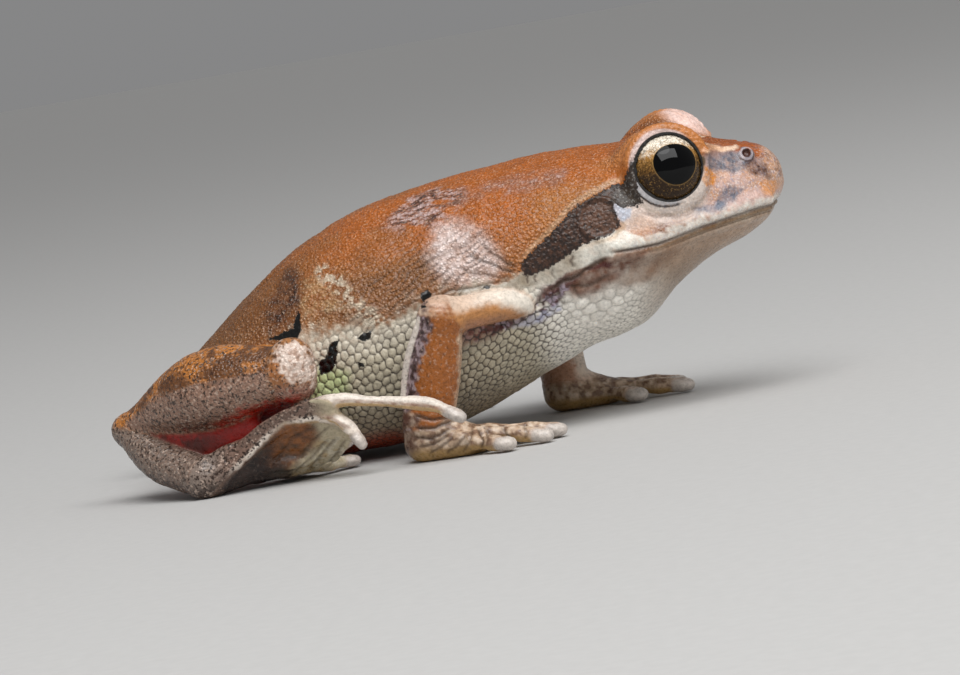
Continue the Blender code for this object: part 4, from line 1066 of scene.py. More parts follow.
lavender = lavender * rise(lumps + 0.5 * lavender, -0.25, 0.3)
lay(lavender * (0.6 + 0.3 * lumps), LAVENDER)
lay(lavender * rise(fleck_rows, 0.0, 0.3) * 0.8, (0.60, 0.46, 0.45))
lay(lavender * rise(-fleck_rows, 0.15, 0.35) * 0.9, (0.03, 0.020, 0.022))
trail = patch(LAVENDER_TRAIL, 0.5, top_flat) * rise(upward, 0.0, 0.4) * right * (0.35 + 0.5 * lumps)
lay(trail, LAVENDER)
lay(trail * rise(fleck_rows, 0.2, 0.5) * 0.8, (0.56, 0.44, 0.42))
lay(patch(RUMP_PATCH, 0.6) * (0.75 + 0.5 * lumps + 0.3 * freckles), DARK_PATCH)
banded = stroke(rough_flat, BUMP_BAND, 0.22, 0.5) * trunk
lay(banded * rise(freckles, -0.35, 0.1), (0.66, 0.55, 0.41))
pale = rise(under_line + 0.7 * freckles + 0.3 * lumps, -0.9, 0.7) * trunk
lay(pale * (1 - 0.5 * browned * rise(-under_line, -0.6, 0.4)), FLANK_PALE)
lay(rise(under_line, 0.8, 2.5) * trunk, BELLY)
# The belly painted darker towards the bottom: painted shade on its underside.
lay(rise(-z, -4.2, -1.2) * under_side, BELLY_LOW_SHADE)
lay(rise(x, 5.5, 8.0) * under_side, CHEST)
# The throat under the jaw painted darker: painted shade.
lay(rise(x, 11.5, 15.0) * under_side, THROAT_SHADE)
lay(rise(x, 13.0, 15.0) * rise(-under_mouth, -2.6, -0.6) * under_side, JAW)
streaked = 1 - 0.3 * rise(noise(body * (1, 1, 0.25), 0.22, 91, 1), -0.2, 0.5)
lay((1 - streaked) * rise(x, 12.5, 14.0) * under_side * rise(-under_mouth, -3.0, -0.8), (0.26, 0.16, 0.10))
lay(rise(-np.abs(under_mouth - 0.17), -0.16, -0.05) * rise(x, 12.6, 14.0) * trunk * 0.8, JAW_TAN)
# A thin dark line in the groove pressed below the lip: painted shade.
lay(rise(-np.abs(under_mouth - 0.34), -0.07, -0.01) * rise(x, 13.0, 14.5) * trunk * 0.8, (0.11, 0.065, 0.025))
lay(patch(JAW_WASH, 0.6) * (0.55 + 0.3 * lumps), (0.24, 0.125, 0.065))
lay(patch(JAW_BROWN, 0.45) * (0.78 + 0.35 * freckles), JAW_SHADE)
lay(patch(ARM_PIT, 0.3) * (0.7 + 0.5 * freckles), (0.12, 0.045, 0.035))
for line in JAW_RED:
    lay(stroke(rough_flat, line, 0.06, 0.16) * trunk * (0.8 + 0.4 * freckles), (0.085, 0.018, 0.014))
lay(puffed * 0.6, CHEST)
lay(patch(GREEN_TINT, 0.6) * 0.85, (0.58, 0.68, 0.33))
# Blue-grey glints on the chest below the arm: painted highlights.
lay(patch(CHEST_BLUE_GLINTS, 0.25) * (0.7 + 0.5 * freckles), (0.42, 0.42, 0.54))
maroon = stroke(rough_flat, MAROON, 0.20, 0.3) * trunk
lay(maroon * rise(freckles, -0.35, -0.1), (0.07, 0.015, 0.018))
# Bluish-white dots in the maroon streak: painted highlights.
lay(maroon * rise(dots, 0.35, 0.6) * 0.7, (0.5, 0.42, 0.5))
low_flank = rise(-x, -5.0, -3.2) * rise(x, 0.8, 2.0) * rise(-np.abs(z - 6.3), -0.8, -0.2) * trunk
lay(low_flank * 0.6, (0.30, 0.10, 0.06))

above_lip = z - mouth_z
lip_top = level_on(LIP_TOP, x)
above_mouth = rise(above_lip, -0.1, 0.06) * trunk
lay(rise(x, 11.7, 12.5) * rise(z, 10.2, 10.7) * rise(-above_lip, -3.6, -2.9) * above_mouth, CHEEK)
cheek_away = np.linalg.norm((flat - (13.3, 10.6)) * (1, 1.3), axis=1)
lay(rise(-cheek_away, -1.1, -0.4) * above_mouth * 0.35, (0.66, 0.36, 0.20))
lay(rise(x, 16.6, 17.4) * rise(z, lip_top.min(), 10.9) * rise(-z, -14.0, -13.6) * above_mouth, LOREAL)
lay(rise(x, 16.6, 17.2) * rise(z + 0.40 * (x - 17.1), 14.0, 14.25) * trunk, SNOUT_TOP)
lay(rise(x, 20.2, 20.9) * rise(above_lip, 0.4, 1.0) * trunk, SNOUT_TIP)
mottled = rise(x, 16.8, 17.5) * rise(above_lip, 0.9, 1.3) * rise(-z, -13.6, -13.2) * trunk
lay(mottled * rise(lumps, 0.0, 0.5) * 0.4, (0.62, 0.31, 0.14))
cheeked = rise(x, 11.9, 13.0) * rise(-above_lip, -2.6, -1.6) * above_mouth
lip_band = rise(x, 11.8, 12.8) * rise(lip_top - z + 0.22 * freckles, -0.22, 0.28) * above_mouth
lay(lip_band, LIP)
lay(lip_band * rise(dots, 0.3, 0.6) * 0.35, (0.45, 0.36, 0.30))
lay(lip_band * rise(-x, -15.5, -13.0) * (0.45 + 0.3 * lumps), (0.50, 0.38, 0.28))
stripe = patch(WHITE_STRIPE, 0.12)
lay(stripe * (0.9 + 0.15 * freckles), PEARL)
# The stripe's rear, where it is creased, painted darker: painted shade in the creases.
lay(stripe * rise(-x, -10.4, -8.8) * (0.6 + 0.3 * lumps), (0.26, 0.20, 0.13))
for outline, soft, colour in (
    (BLUE_STREAK, 0.24, (0.12, 0.14, 0.19)),
    (LOREAL_PATCH, 0.32, LOREAL_GREY),
    (UNDER_NOSTRIL, 0.28, (0.05, 0.018, 0.016)),
    (SNOUT_PATCH, 0.2, (0.66, 0.28, 0.09)),
):
    lay(patch(outline, soft) * outer * (0.8 + 0.3 * freckles), colour)
greyed = np.clip(patch(BLUE_STREAK, 0.2) + patch(LOREAL_PATCH, 0.2) + patch(UNDER_NOSTRIL, 0.25), 0, 1)
profile = rise(x, 19.6, 20.3) * rise(-out, -2.1, -1.0) * rise(z, 11.0, 11.6) * trunk
lay(profile * rise(-dots, 0.1, 0.4) * 0.5, (0.12, 0.055, 0.04))
lay(stroke(rough_flat * 0.3 + flat * 0.7, CANTHAL_LINE, 0.035, 0.09) * trunk * outer, (0.80, 0.58, 0.42))
nostril = side_of(NOSTRIL_AT, 1) + unit(NOSTRIL_FACES) * NOSTRIL_RIM
nostril_away = np.linalg.norm(np.column_stack([x, out, z]) - nostril, axis=1)
lay(rise(-nostril_away, -0.66, -0.5) * rise(freckles, -0.4, 0.1), (0.24, 0.23, 0.28))
# A dark line round the lower side of the nostril's rim: painted shadow under it.
lay(rise(-np.abs(nostril_away - 0.52), -0.09, -0.03) * rise(-z, -13.6, -13.0), (0.05, 0.025, 0.022))
rim_lit = 0.5 + 0.4 * rise(z, 13.0, 13.4)
lay(rise(-np.abs(nostril_away - 0.38), -0.07, -0.02) * rim_lit, (0.58, 0.50, 0.50))
# The nostril's hole painted near black: painted shade in the hole.
lay(rise(-nostril_away, -0.33, -0.27), (0.04, 0.010, 0.007))

band_flat = flat + wander * 0.3
band = np.maximum(inside(band_flat, BAND, 1.0), inside(band_flat, BEHIND_EYE, 1.0))
band_edge = rise(-np.abs(band + 0.16), -0.2, -0.05) * rise(z, 9.6, 10.6) * rise(-x, -12.8, -12.2)
lay(band_edge * trunk * 0.6, (0.66, 0.45, 0.28))
lay(patch(DRUM_BLUE, 0.12), (0.55, 0.58, 0.66))
drum_away = np.linalg.norm(flat - EARDRUM_AT, axis=1)

# Round the eye: an orange brow with a pale inner rim, a white lower lid, a silver crescent behind, and a
# dark edge where the lids meet the ball.
eye_place, facing = np.array(EYE_CENTRE), eye_axis(1)
from_eye = np.column_stack([x, out, z]) - eye_place
upward_eye = unit(np.array((0, 0, 1.0)) - facing[2] * facing)
forward_eye = np.cross(upward_eye, facing)
forward_eye = forward_eye * np.sign(forward_eye[0])
out_of_eye = from_eye @ facing
eye_up, eye_on = from_eye @ upward_eye, from_eye @ forward_eye
eye_radius = np.hypot(eye_up, eye_on)
steep = eye_up / np.maximum(eye_radius, 0.01)
front = rise(out_of_eye, -0.5, 0.2) * trunk
lay(rise(-eye_radius, -4.4, -3.4) * rise(steep, 0.0, 0.4) * rise(out_of_eye, -1.6, -0.8) * trunk, LID_ORANGE)
lay(rise(-eye_radius, -2.62, -2.45) * rise(-steep, 0.1, 0.5) * front * 0.8, LID_LOW)
# A darker line along the crease below the eye: painted shade in the crease.
lid_crease_shade = rise(-np.abs(eye_radius - 2.64), -0.11, -0.03) * rise(-steep, 0.35, 0.7) * front
lay(lid_crease_shade * 0.45, (0.38, 0.34, 0.27))
rim_wide = 2.10 + 0.19 * rise(-eye_on, -1.2, 1.0)
lid_rim = rise(rim_wide - eye_radius, -0.06, 0.06) * rise(steep, 0.0, 0.3) * rise(-eye_on, -1.6, -0.8)
lay(lid_rim * front, LID_RIM)
turn = np.degrees(np.arctan2(eye_up, -eye_on))
silver_wide = 0.19 * rise(turn, -115, -50) * rise(-turn, -35, 20)
silver = rise(2.05 + silver_wide - eye_radius, -0.04, 0.02) * rise(silver_wide, 0.01, 0.06)
lay(silver * front, (0.42, 0.41, 0.42))
edge = rise(-np.abs(eye_radius - 2.11 - silver_wide), -0.09, -0.04) * rise(silver_wide, 0.01, 0.06)
lay(edge * front, (0.02, 0.016, 0.014))
canthus = patch(CANTHUS, 0.1) * outer
lay(canthus, (0.10, 0.065, 0.035))
lay(canthus * rise(freckles, 0.2, 0.5), (0.36, 0.24, 0.10))
lay(patch(ORANGE_SPOT, 0.12) * outer * (0.85 + 0.3 * freckles), (0.70, 0.26, 0.04))
# A pink patch on the far eye's mound, partly its own colour and partly a painted highlight.
far_pink_highlight = rise(-np.linalg.norm(body - (16.5, 3.2, 15.3), axis=1), -2.0, -1.1) * trunk * ~right
lay(far_pink_highlight * (0.85 + 0.2 * freckles), (0.88, 0.64, 0.57))

# Limbs: brown above with darker bars, cream at the shoulder and knee, red where the leg folds, and pale
# thin skin on hands, toes and webs.
FLASH = (
    (-16.4, 3.7), (-14.0, 2.6), (-11.8, 2.0), (-10.3, 2.8), (-9.0, 3.6), (-7.2, 4.0), (-6.9, 4.9), (-8.4, 4.75),
    (-10.4, 3.95), (-11.9, 3.5), (-14.1, 3.25),
)
WEB_MARGIN = (
    (-8.1, 0.2), (-7.5, 1.16), (-6.7, 1.7), (-6.2, 1.9), (-5.3, 2.5), (-4.6, 2.6), (-4.2, 1.4), (-5.0, 0.2),
)
KNEE_PATCH = (
    (-7.3, 7.9), (-6.2, 7.9), (-5.5, 7.1), (-5.5, 6.0), (-6.0, 5.5), (-6.7, 5.9), (-7.3, 6.6), (-7.45, 7.3),
)
SOLE_EDGE = (
    (-14.0, -1.0), (-11.8, 0.9), (-10.8, 1.5), (-9.5, 2.4), (-8.5, 3.2), (-7.8, 3.6), (-6.0, 3.4), (-4.7, 2.4),
)
ARM_CREAM, ARM_ORANGE, FORE_BROWN, FORE_PALE, FORE_DARK = (
    (0.76, 0.64, 0.53), (0.50, 0.22, 0.07), (0.30, 0.09, 0.012), (0.56, 0.38, 0.25), (0.10, 0.065, 0.07),
)
HAND_CREAM, HAND_AMBER, PAD_WHITE = (0.44, 0.31, 0.21), (0.38, 0.23, 0.08), (0.56, 0.50, 0.45)
SHANK_TOP, SHANK_BAR, SHANK_SIDE, KNEE_WHITE = (
    (0.50, 0.18, 0.030), (0.06, 0.022, 0.009), (0.33, 0.20, 0.145), (0.80, 0.66, 0.57),
)
FLASH_RED, TARSUS_GREY, FOOT_BROWN, TOE_CREAM, WEB_PALE, SOLE_SHADE = (
    (0.36, 0.006, 0.001), (0.22, 0.17, 0.14), (0.20, 0.12, 0.085), (0.70, 0.62, 0.54), (0.48, 0.41, 0.28),
    (0.012, 0.003, 0.0012),
)
arm_near = rise(limb_x, 3.4, 6.4)
lay(share[UPPER_ARM], ARM_ORANGE)
cream = rise(upward + 1.3 * rise(limb_x, 4.2, 7.0) + 0.15 * freckles, -0.15, 0.75)
lay(share[UPPER_ARM] * cream, ARM_CREAM)
lay(share[UPPER_ARM] * arm_near * 0.6 * cream, PEARL)
lay(share[UPPER_ARM] * rise(-limb_x, -4.4, -2.8) * cream * 0.85, (0.66, 0.48, 0.36))
lay(share[UPPER_ARM] * rise(-upward, 0.2, 0.8) * (1 - arm_near) * 0.6, (0.40, 0.20, 0.14))
lay(share[FOREARM], FORE_BROWN)
lay(share[FOREARM] * rise(upward, 0.35, 0.8) * rise(limb_z, 7.6, 8.3) * 0.85, (0.66, 0.48, 0.36))
edge_ahead = rise(ahead + 0.1 * freckles, 0.72, 0.95)
lay(share[FOREARM] * edge_ahead, FORE_PALE)
behind = rise(-ahead + 0.15 * freckles, 0.35, 0.6)
lay(share[FOREARM] * behind, FORE_DARK)
lay(share[FOREARM] * behind * rise(dots, 0.5, 0.65) * 0.8, (0.50, 0.42, 0.44))
fringe_away = line_distance(limb, FRINGE)[0]
dark_edge = share[FOREARM] * rise(-fringe_away + 0.25 * freckles, -1.15, -0.75) * right
lay(dark_edge, FORE_DARK)
lay(dark_edge * rise(dots, 0.25, 0.45) * 0.8, (0.36, 0.28, 0.30))
lay(dark_edge * rise(-dots, 0.35, 0.5) * 0.8, (0.02, 0.012, 0.012))
lay(share[FOREARM] * rise(-fringe_away, -0.27, -0.2) * right, (0.60, 0.54, 0.48))
lay(share[HAND], HAND_CREAM)
lay(share[HAND] * rise(freckles, 0.1, 0.4) * 0.75, (0.13, 0.06, 0.032))
lay(share[HAND] * rise(-freckles, 0.15, 0.4) * 0.6, (0.68, 0.55, 0.43))
lay(share[HAND] * rise(-upward, -0.1, 0.5), HAND_AMBER)
heel_of_hand = rise(-limb_x - 0.5 * (3.0 - limb_z) + 0.4 * lumps, -0.3, 0.6) * share[HAND]
lay(heel_of_hand * (limb_x < 3) * (0.85 + 0.3 * freckles), (0.09, 0.04, 0.028))
inner_arm = (share[FOREARM] + share[HAND] * rise(limb_z, 1.4, 2.2)) * ~right
inner_arm = inner_arm * rise(-skin_facing[:, 1], -0.1, 0.2)
lay(inner_arm, (0.46, 0.25, 0.16))
lay(inner_arm * rise(ahead, 0.2, 0.6), (0.82, 0.68, 0.56))
lay(share[THIGH], FLASH_RED)
lay(share[THIGH] * rise(upward, 0.2, 0.7) * rise(limb_z, 4.2, 5.2), SHANK_TOP)
lay(share[SHANK], SHANK_SIDE)
shank_top = rise(upward + 0.12 * lumps, 0.1, 0.4)
lay(share[SHANK] * shank_top, SHANK_TOP)
toward_bend = rise(-limb_x, 9.5, 13.0)
shank_low = rise(-upward - 0.06 * (limb_x + 12) - 0.35 * toward_bend + 0.1 * freckles, 0.42, 0.72)
lay(share[SHANK] * shank_low * rise(limb_x, -14.5, -11.5), FLASH_RED)
lay(share[SHANK] * shank_low * rise(dots + 0.2 * freckles, 0.15, 0.4) * 0.7, (0.06, 0.02, 0.014))
# The shank's underside towards the bend painted dark: painted shade in the fold of the leg.
lay(share[SHANK] * rise(-upward + 0.1 * freckles, 0.35, 0.85) * toward_bend * 0.8, (0.05, 0.022, 0.016))
limb_flat = limb_side + wander
leg = share[SHANK] + share[THIGH]
at_knee = rise(limb_x, -8.5, -7.9) * rise(limb_out, 9.5, 10.6) * leg
lay(at_knee * 0.9, (0.38, 0.16, 0.05))
lay(at_knee * rise(-limb_z, -6.0, -5.2), (0.36, 0.19, 0.14))
lay(at_knee * rise(-limb_z, -5.2, -4.4), (0.42, 0.06, 0.02))
white = rise(inside(limb_flat, KNEE_PATCH) + 0.45 * freckles + 0.1 * dots, -0.35, 0.15) * at_knee
lay(white, KNEE_WHITE)
lay(white * rise(dots + 0.4 * freckles, 0.3, 0.5) * 0.6, (0.28, 0.12, 0.055))
flash = rise(inside(limb_flat, FLASH) + 0.3 * freckles + 0.1 * dots, -0.45, 0.3) * rise(limb_out, 6.5, 7.5)
flash = flash * (1 - share[TARSUS] - share[FOOT] - share[WEB])
lay(flash, FLASH_RED)
lay(flash * rise(-limb_x, 10.5, 13.5) * 0.92, (0.055, 0.012, 0.007))
lay(share[TARSUS], TARSUS_GREY)
# The tarsus's underside painted dark: painted shade.
lay(share[TARSUS] * rise(-upward, 0.1, 0.6), (0.06, 0.035, 0.025))
lay(share[FOOT], FOOT_BROWN)
toes_out = rise(limb_x, -10.0, -7.0)
lay(share[FOOT] * toes_out, TOE_CREAM)
lay(share[FOOT] * rise(-upward, 0.1, 0.5) * toes_out, (0.55, 0.36, 0.17))
toe_line = rise(-np.abs(upward + 0.05 + 0.15 * freckles), -0.3, -0.1) * share[FOOT] * toes_out
lay(toe_line * (0.55 + 0.4 * freckles), (0.30, 0.14, 0.075))
lay(share[WEB], WEB_PALE)
lay(share[DISC], PAD_WHITE)
sole_edge = level_on(SOLE_EDGE, limb_x)
sole = rise(sole_edge - limb_z, -0.1, 0.25) * right * (share[FOOT] + share[WEB] + 0.6 * share[DISC])
sole = sole * rise(-limb_x, 5.8, 6.8) * (limb_out < RIGHT_FOOT_OUT)
# The sole, under the foot, painted near black: painted shade.
lay(sole * (0.95 + 0.1 * lumps), SOLE_SHADE)
toward_toes = sole * rise(limb_z + 0.6 * freckles, 0.6, 2.6) * rise(limb_x, -10.2, -7.6)
lay(toward_toes * (0.8 + 0.4 * freckles), (0.26, 0.09, 0.02))
foot_part = (share[FOOT] + share[WEB]) * right_foot
margin = rise(inside(limb_flat, WEB_MARGIN) + 0.25 * freckles, -0.45, 0.35) * foot_part
lay(margin, WEB_PALE)
lay(margin * rise(lumps + 0.5 * freckles, 0.0, 0.5) * 0.7, (0.44, 0.30, 0.14))
lay(margin * rise(-freckles, 0.1, 0.4) * 0.6, (0.66, 0.60, 0.47))
instep_part = foot_part * rise(limb_z - sole_edge, -0.05, 0.2) * rise(-limb_x, 4.9, 6.6)
lay(instep_part, (0.19, 0.115, 0.085))
lay(instep_part * rise(-limb_x, 11.2, 12.6), TARSUS_GREY)
# The ankle's underside painted dark: painted shadow.
lay(instep_part * rise(-upward, 0.1, 0.6) * rise(-limb_x, 10.8, 12.0), (0.06, 0.035, 0.025))
edge_line = rise(-np.abs(limb_z - sole_edge - 0.2) + 0.08 * freckles, -0.26, -0.08) * right * share[FOOT]
lay(edge_line * rise(limb_x, -11.8, -10.6) * 0.95, (0.84, 0.74, 0.64))
under_red = rise(-z, -1.9, -0.7) * rise(x, -7.5, -6.0) * rise(-x, 1.6, 2.6) * right * trunk
lay(under_red, (0.30, 0.045, 0.015))

marks = np.full(len(skin_points), -1.0)
for outline in BLOTCHES:
    for on_right in (True, False):
        distance = inside(band_flat if on_right else band_flat - LEFT_SHIFT, outline, 1.0)
        here = (right == on_right) & (trunk + share[UPPER_ARM] > 0.5)
        marks = np.where(here, np.maximum(marks, distance), marks)
band = np.where(trunk > 0.5, band, -1.0)
back = back * (1 - patch(WHITE_STRIPE, 0.2))
striped = patch(WHITE_STRIPE, 0.15)
back = back * (1 - front * rise(-eye_radius, -3.0, -2.6))
bare = (1 - white**2 * 0.9) * (1 - flash) * (1 - rise(shank_low, 0.3, 0.9))
belly_margin = rise(under_line, -0.4, 0.2) * rise(-under_line, -1.6, -0.6) * trunk
speckle = back * 0.45 + share[SHANK] * bare * 1.9 + share[TARSUS] * 1.9 + share[FOREARM] * 0.9
speckle = speckle + instep_part * 1.9 + share[HAND] * 0.35 + share[FOOT] * 0.3 + belly_margin * 0.5
speckle = speckle + at_knee * share[THIGH] * (1 - white) * 1.8
bars = share[SHANK] * rise(upward, 0.0, 0.4) * (1 - white)
grain = back + (share[SHANK] + share[TARSUS]) * 0.6 + share[FOREARM] * 0.15 + head * 0.25 * (1 - lip_band)
grain = grain * (1 - far_pink_highlight)
jointed = rise(under_side, 0.25, 0.9) * plain * (1 - 0.9 * striped)
jointed = jointed * (0.45 + 0.55 * rise(under_line + 0.5 * lumps, 0.2, 1.8))
stipple = (mottled * 0.8 + lip_band * 0.15 + cheeked * 0.4) * (1 - rise(-nostril_away, -0.62, -0.45))
stipple = stipple * (1 - 0.6 * greyed) * (1 - far_pink_highlight)
eye_rim = np.where(front > 0.3, np.clip(1.99 - eye_radius, -0.3, 0.3), -0.3)
on_drum, behind_eye = rise(-drum_away, -1.5, -0.7), rise(inside(flat, BEHIND_EYE, 1.0), -0.5, 0.3)


# The skin's fine detail is in its material: granules and flecks of about a fifth of a millimetre, the ragged
# edge of each mark, dark joints between cobbles, painted glints and a moist gloss that breaks up over them.
def make_flecks():
    """Scattered ragged flecks of one size, from 0 between them to 1 on them."""
    group = bpy.data.node_groups.new("flecks", "ShaderNodeTree")
    for name, default in (("Place", None), ("Per mm", 3.0), ("Cover", 0.35), ("Soft", 0.06)):
        kind = "NodeSocketVector" if default is None else "NodeSocketFloat"
        socket = group.interface.new_socket(name, in_out="INPUT", socket_type=kind)
        if default is not None:
            socket.default_value = default
    group.interface.new_socket("Mask", in_out="OUTPUT", socket_type="NodeSocketFloat")
    given = group.nodes.new("NodeGroupInput").outputs
    ragged = new_node(group, "ShaderNodeTexNoise", {
        "Vector": given["Place"], "Scale": given["Per mm"], "Detail": 3.0, "Roughness": 0.6,
    })
    low = new_node(group, "ShaderNodeMath", (given["Cover"], given["Soft"]), operation="SUBTRACT")
    high = new_node(group, "ShaderNodeMath", (given["Cover"], given["Soft"]), operation="ADD")
    limits = (ragged.outputs["Fac"], low.outputs[0], high.outputs[0], 1.0, 0.0)
    mask = new_node(group, "ShaderNodeMapRange", limits)
    result = group.nodes.new("NodeGroupOutput")
    group.links.new(mask.outputs[0], result.inputs["Mask"])
    return group


flecks = make_flecks()


def flecked(tree, place, per_mm, cover, soft):
    """The flecks of one size, as a mask for a colour."""
    made = tree.nodes.new("ShaderNodeGroup")
    made.node_tree = flecks
    tree.links.new(place, made.inputs["Place"])
    made.inputs["Per mm"].default_value = per_mm
    if isinstance(cover, bpy.types.NodeSocket):
        tree.links.new(cover, made.inputs["Cover"])
    else:
        made.inputs["Cover"].default_value = cover
    made.inputs["Soft"].default_value = soft
    return made.outputs["Mask"]


def blended(tree, mask, below, above, kind="MIX"):
    """One colour laid over another through a mask."""
    made = tree.nodes.new("ShaderNodeMix")
    made.data_type, made.blend_type = "RGBA", kind
    for key, value in (("Factor_Float", mask), ("A_Color", below), ("B_Color", above)):
        socket = next(s for s in made.inputs if s.identifier == key)
        if isinstance(value, bpy.types.NodeSocket):
            tree.links.new(value, socket)
        else:
            socket.default_value = value if key == "Factor_Float" else (*value, 1.0)
    return next(s for s in made.outputs if s.identifier == "Result_Color")


def sums(tree, first, second, operation="MULTIPLY"):
    """Two values put together, multiplied unless another way is named."""
    return new_node(tree, "ShaderNodeMath", (first, second), operation=operation).outputs[0]


def ranged(tree, value, low, high, start, end):
    """A value's range from low to high, turned into one from start to end."""
    return new_node(tree, "ShaderNodeMapRange", (value, low, high, start, end)).outputs[0]


def shaded(tree, colour, tone):
    """A colour made lighter or darker by a tone."""
    return new_node(tree, "ShaderNodeVectorMath", (colour, tone), operation="MULTIPLY").outputs[0]


def clouds(tree, place, **settings):
    """Soft random clouds about a value of a half."""
    return new_node(tree, "ShaderNodeTexNoise", {"Vector": place, **settings}).outputs["Fac"]


skin_material, tree, shader, place = new_material("frog_skin")


def kept(name):
    """A value that the skin's mesh keeps at each of its points."""
    made = new_node(tree, "ShaderNodeAttribute", attribute_name=name)
    return made.outputs["Color" if name == "tint" else "Fac"]


fine = clouds(tree, place, Scale=5.0, Detail=4.0, Roughness=0.65)
coarse = clouds(tree, place, Scale=1.1, Detail=3.0)
granule_cells = new_node(tree, "ShaderNodeTexVoronoi", {"Vector": place, "Scale": 5.5}, feature="SMOOTH_F1")
granule_cells.inputs["Smoothness"].default_value = 0.3
from_granule = granule_cells.outputs["Distance"]
granule_top = ranged(tree, from_granule, 0.15, 0.6, 1.0, 0.0)


def paint(mask, above):
    """Lays one more colour, through a mask, over those that the material has so far."""
    global colour
    colour = blended(tree, mask, colour, above)


grained, speck = kept("grain"), kept("speckle")
colour = shaded(tree, kept("tint"), ranged(tree, fine, 0.3, 0.7, 0.80, 1.18))
colour = shaded(tree, colour, ranged(tree, coarse, 0.3, 0.7, 0.88, 1.12))
between = sums(tree, ranged(tree, from_granule, 0.3, 0.62, 0.0, 1.0), sums(tree, grained, 0.4))
paint(between, (0.16, 0.045, 0.006))
many = sums(tree, sums(tree, speck, 0.06), 0.33, "ADD")
small = sums(tree, flecked(tree, place, 5.2, many, 0.035), sums(tree, speck, 0.5))
paint(small, (0.03, 0.014, 0.008))
bright = sums(tree, flecked(tree, place, 4.6, 0.40, 0.03), sums(tree, speck, 0.26))
paint(bright, (0.66, 0.50, 0.40))
# Pale glints on the granules: painted highlights.
glints = sums(tree, flecked(tree, place, 7.0, 0.385, 0.03), sums(tree, grained, 0.26))
paint(glints, (0.90, 0.62, 0.42))
stippled = kept("stipple")
STIPPLES = (
    # How many dots in a millimetre, how much they cover, their colour
    (6.0, 0.43, (0.60, 0.27, 0.10)), (5.2, 0.41, (0.24, 0.25, 0.36)), (8.0, 0.42, (0.88, 0.78, 0.72)),
)
for per_mm, cover, dot in STIPPLES:
    dotted = sums(tree, flecked(tree, place, per_mm, cover, 0.04), sums(tree, stippled, 0.4))
    paint(dotted, dot)
barred = sums(tree, flecked(tree, place, 0.6, 0.48, 0.05), kept("bars"))
paint(sums(tree, barred, 0.8), SHANK_BAR)
joint = ranged(tree, kept("cobble"), 0.05, 0.24, 0.92, 0.0)
paint(sums(tree, joint, kept("jointed")), (0.035, 0.022, 0.014))
ragged = sums(tree, sums(tree, fine, 0.5, "SUBTRACT"), 0.7)
in_band = sums(tree, kept("band"), ragged, "ADD")
band_mask = ranged(tree, in_band, -0.02, 0.06, 0.0, 1.0)
band_inside = blended(tree, flecked(tree, place, 4.0, 0.48, 0.12), (0.016, 0.005, 0.002), (0.085, 0.034, 0.016))
band_inside = blended(tree, sums(tree, kept("drum"), 0.4), band_inside, (0.17, 0.075, 0.04))
band_inside = blended(tree, sums(tree, kept("behind"), 0.8), band_inside, (0.035, 0.024, 0.015))
pale_specks = sums(tree, flecked(tree, place, 8.0, 0.42, 0.04), kept("behind"))
band_inside = blended(tree, sums(tree, pale_specks, 0.5), band_inside, (0.34, 0.33, 0.31))
BAND_DARK = (0.010, 0.004, 0.002)
band_spots = sums(tree, flecked(tree, place, 4.2, 0.46, 0.06), 0.75)
band_inside = blended(tree, band_spots, band_inside, BAND_DARK)
band_inside = blended(tree, ranged(tree, in_band, 0.05, 0.24, 0.85, 0.0), band_inside, BAND_DARK)
paint(band_mask, band_inside)
in_mark = sums(tree, kept("mark"), sums(tree, ragged, 0.5), "ADD")
mark_mask = ranged(tree, in_mark, -0.02, 0.04, 0.0, 1.0)
paint(mark_mask, (0.004, 0.004, 0.0035))
# Painted shade along the folds, wrinkles and mouth, and dark joints between the puffed cobbles.
paint(kept("line"), (0.045, 0.020, 0.008))
rim_mask = ranged(tree, kept("rim"), -0.02, 0.02, 0.0, 1.0)
paint(rim_mask, (0.008, 0.006, 0.005))
tree.links.new(colour, shader.inputs["Base Color"])

height = sums(tree, granule_top, sums(tree, grained, 0.75))
height = sums(tree, height, sums(tree, fine, 0.45), "ADD")
polished = sums(tree, sums(tree, mark_mask, rim_mask, "MAXIMUM"), sums(tree, band_mask, 0.55), "MAXIMUM")
height = sums(tree, height, sums(tree, 1.0, polished, "SUBTRACT"))
bump = new_node(tree, "ShaderNodeBump", {"Strength": 1.0, "Distance": 0.00008, "Height": height})
tree.links.new(bump.outputs[0], shader.inputs["Normal"])
dull = sums(tree, ranged(tree, fine, 0.35, 0.65, 0.20, 0.46), sums(tree, mark_mask, 0.08), "SUBTRACT")
dull = sums(tree, dull, sums(tree, band_mask, 0.12), "ADD")
dull = sums(tree, dull, sums(tree, rim_mask, 0.3), "ADD")
tree.links.new(dull, shader.inputs["Roughness"])
shader.inputs["Specular IOR Level"].default_value = 0.5

skin_mesh = bpy.data.meshes.new("skin")
skin_mesh.vertices.add(len(skin_points))
skin_mesh.vertices.foreach_set("co", in_frame(skin_points).astype(np.float32).ravel())
skin_mesh.loops.add(skin_quads.size)
skin_mesh.loops.foreach_set("vertex_index", skin_quads.ravel())
skin_mesh.polygons.add(len(skin_quads))
skin_mesh.polygons.foreach_set("loop_start", np.arange(0, skin_quads.size, 4, dtype=np.int32))
skin_mesh.update(calc_edges=True)
skin_mesh.validate()
for name, values in (
    ("band", band), ("mark", marks), ("cobble", cobble), ("jointed", jointed), ("stipple", stipple),
    ("speckle", speckle), ("grain", grain), ("bars", bars), ("line", crease_shade_and_joints), ("rim", eye_rim),
    ("drum", on_drum), ("behind", behind_eye),
):
    skin_mesh.attributes.new(name, "FLOAT", "POINT").data.foreach_set("value", values.astype(np.float32))
rgba = np.column_stack([np.clip(tint, 0, 1), np.ones(len(tint))]).astype(np.float32)
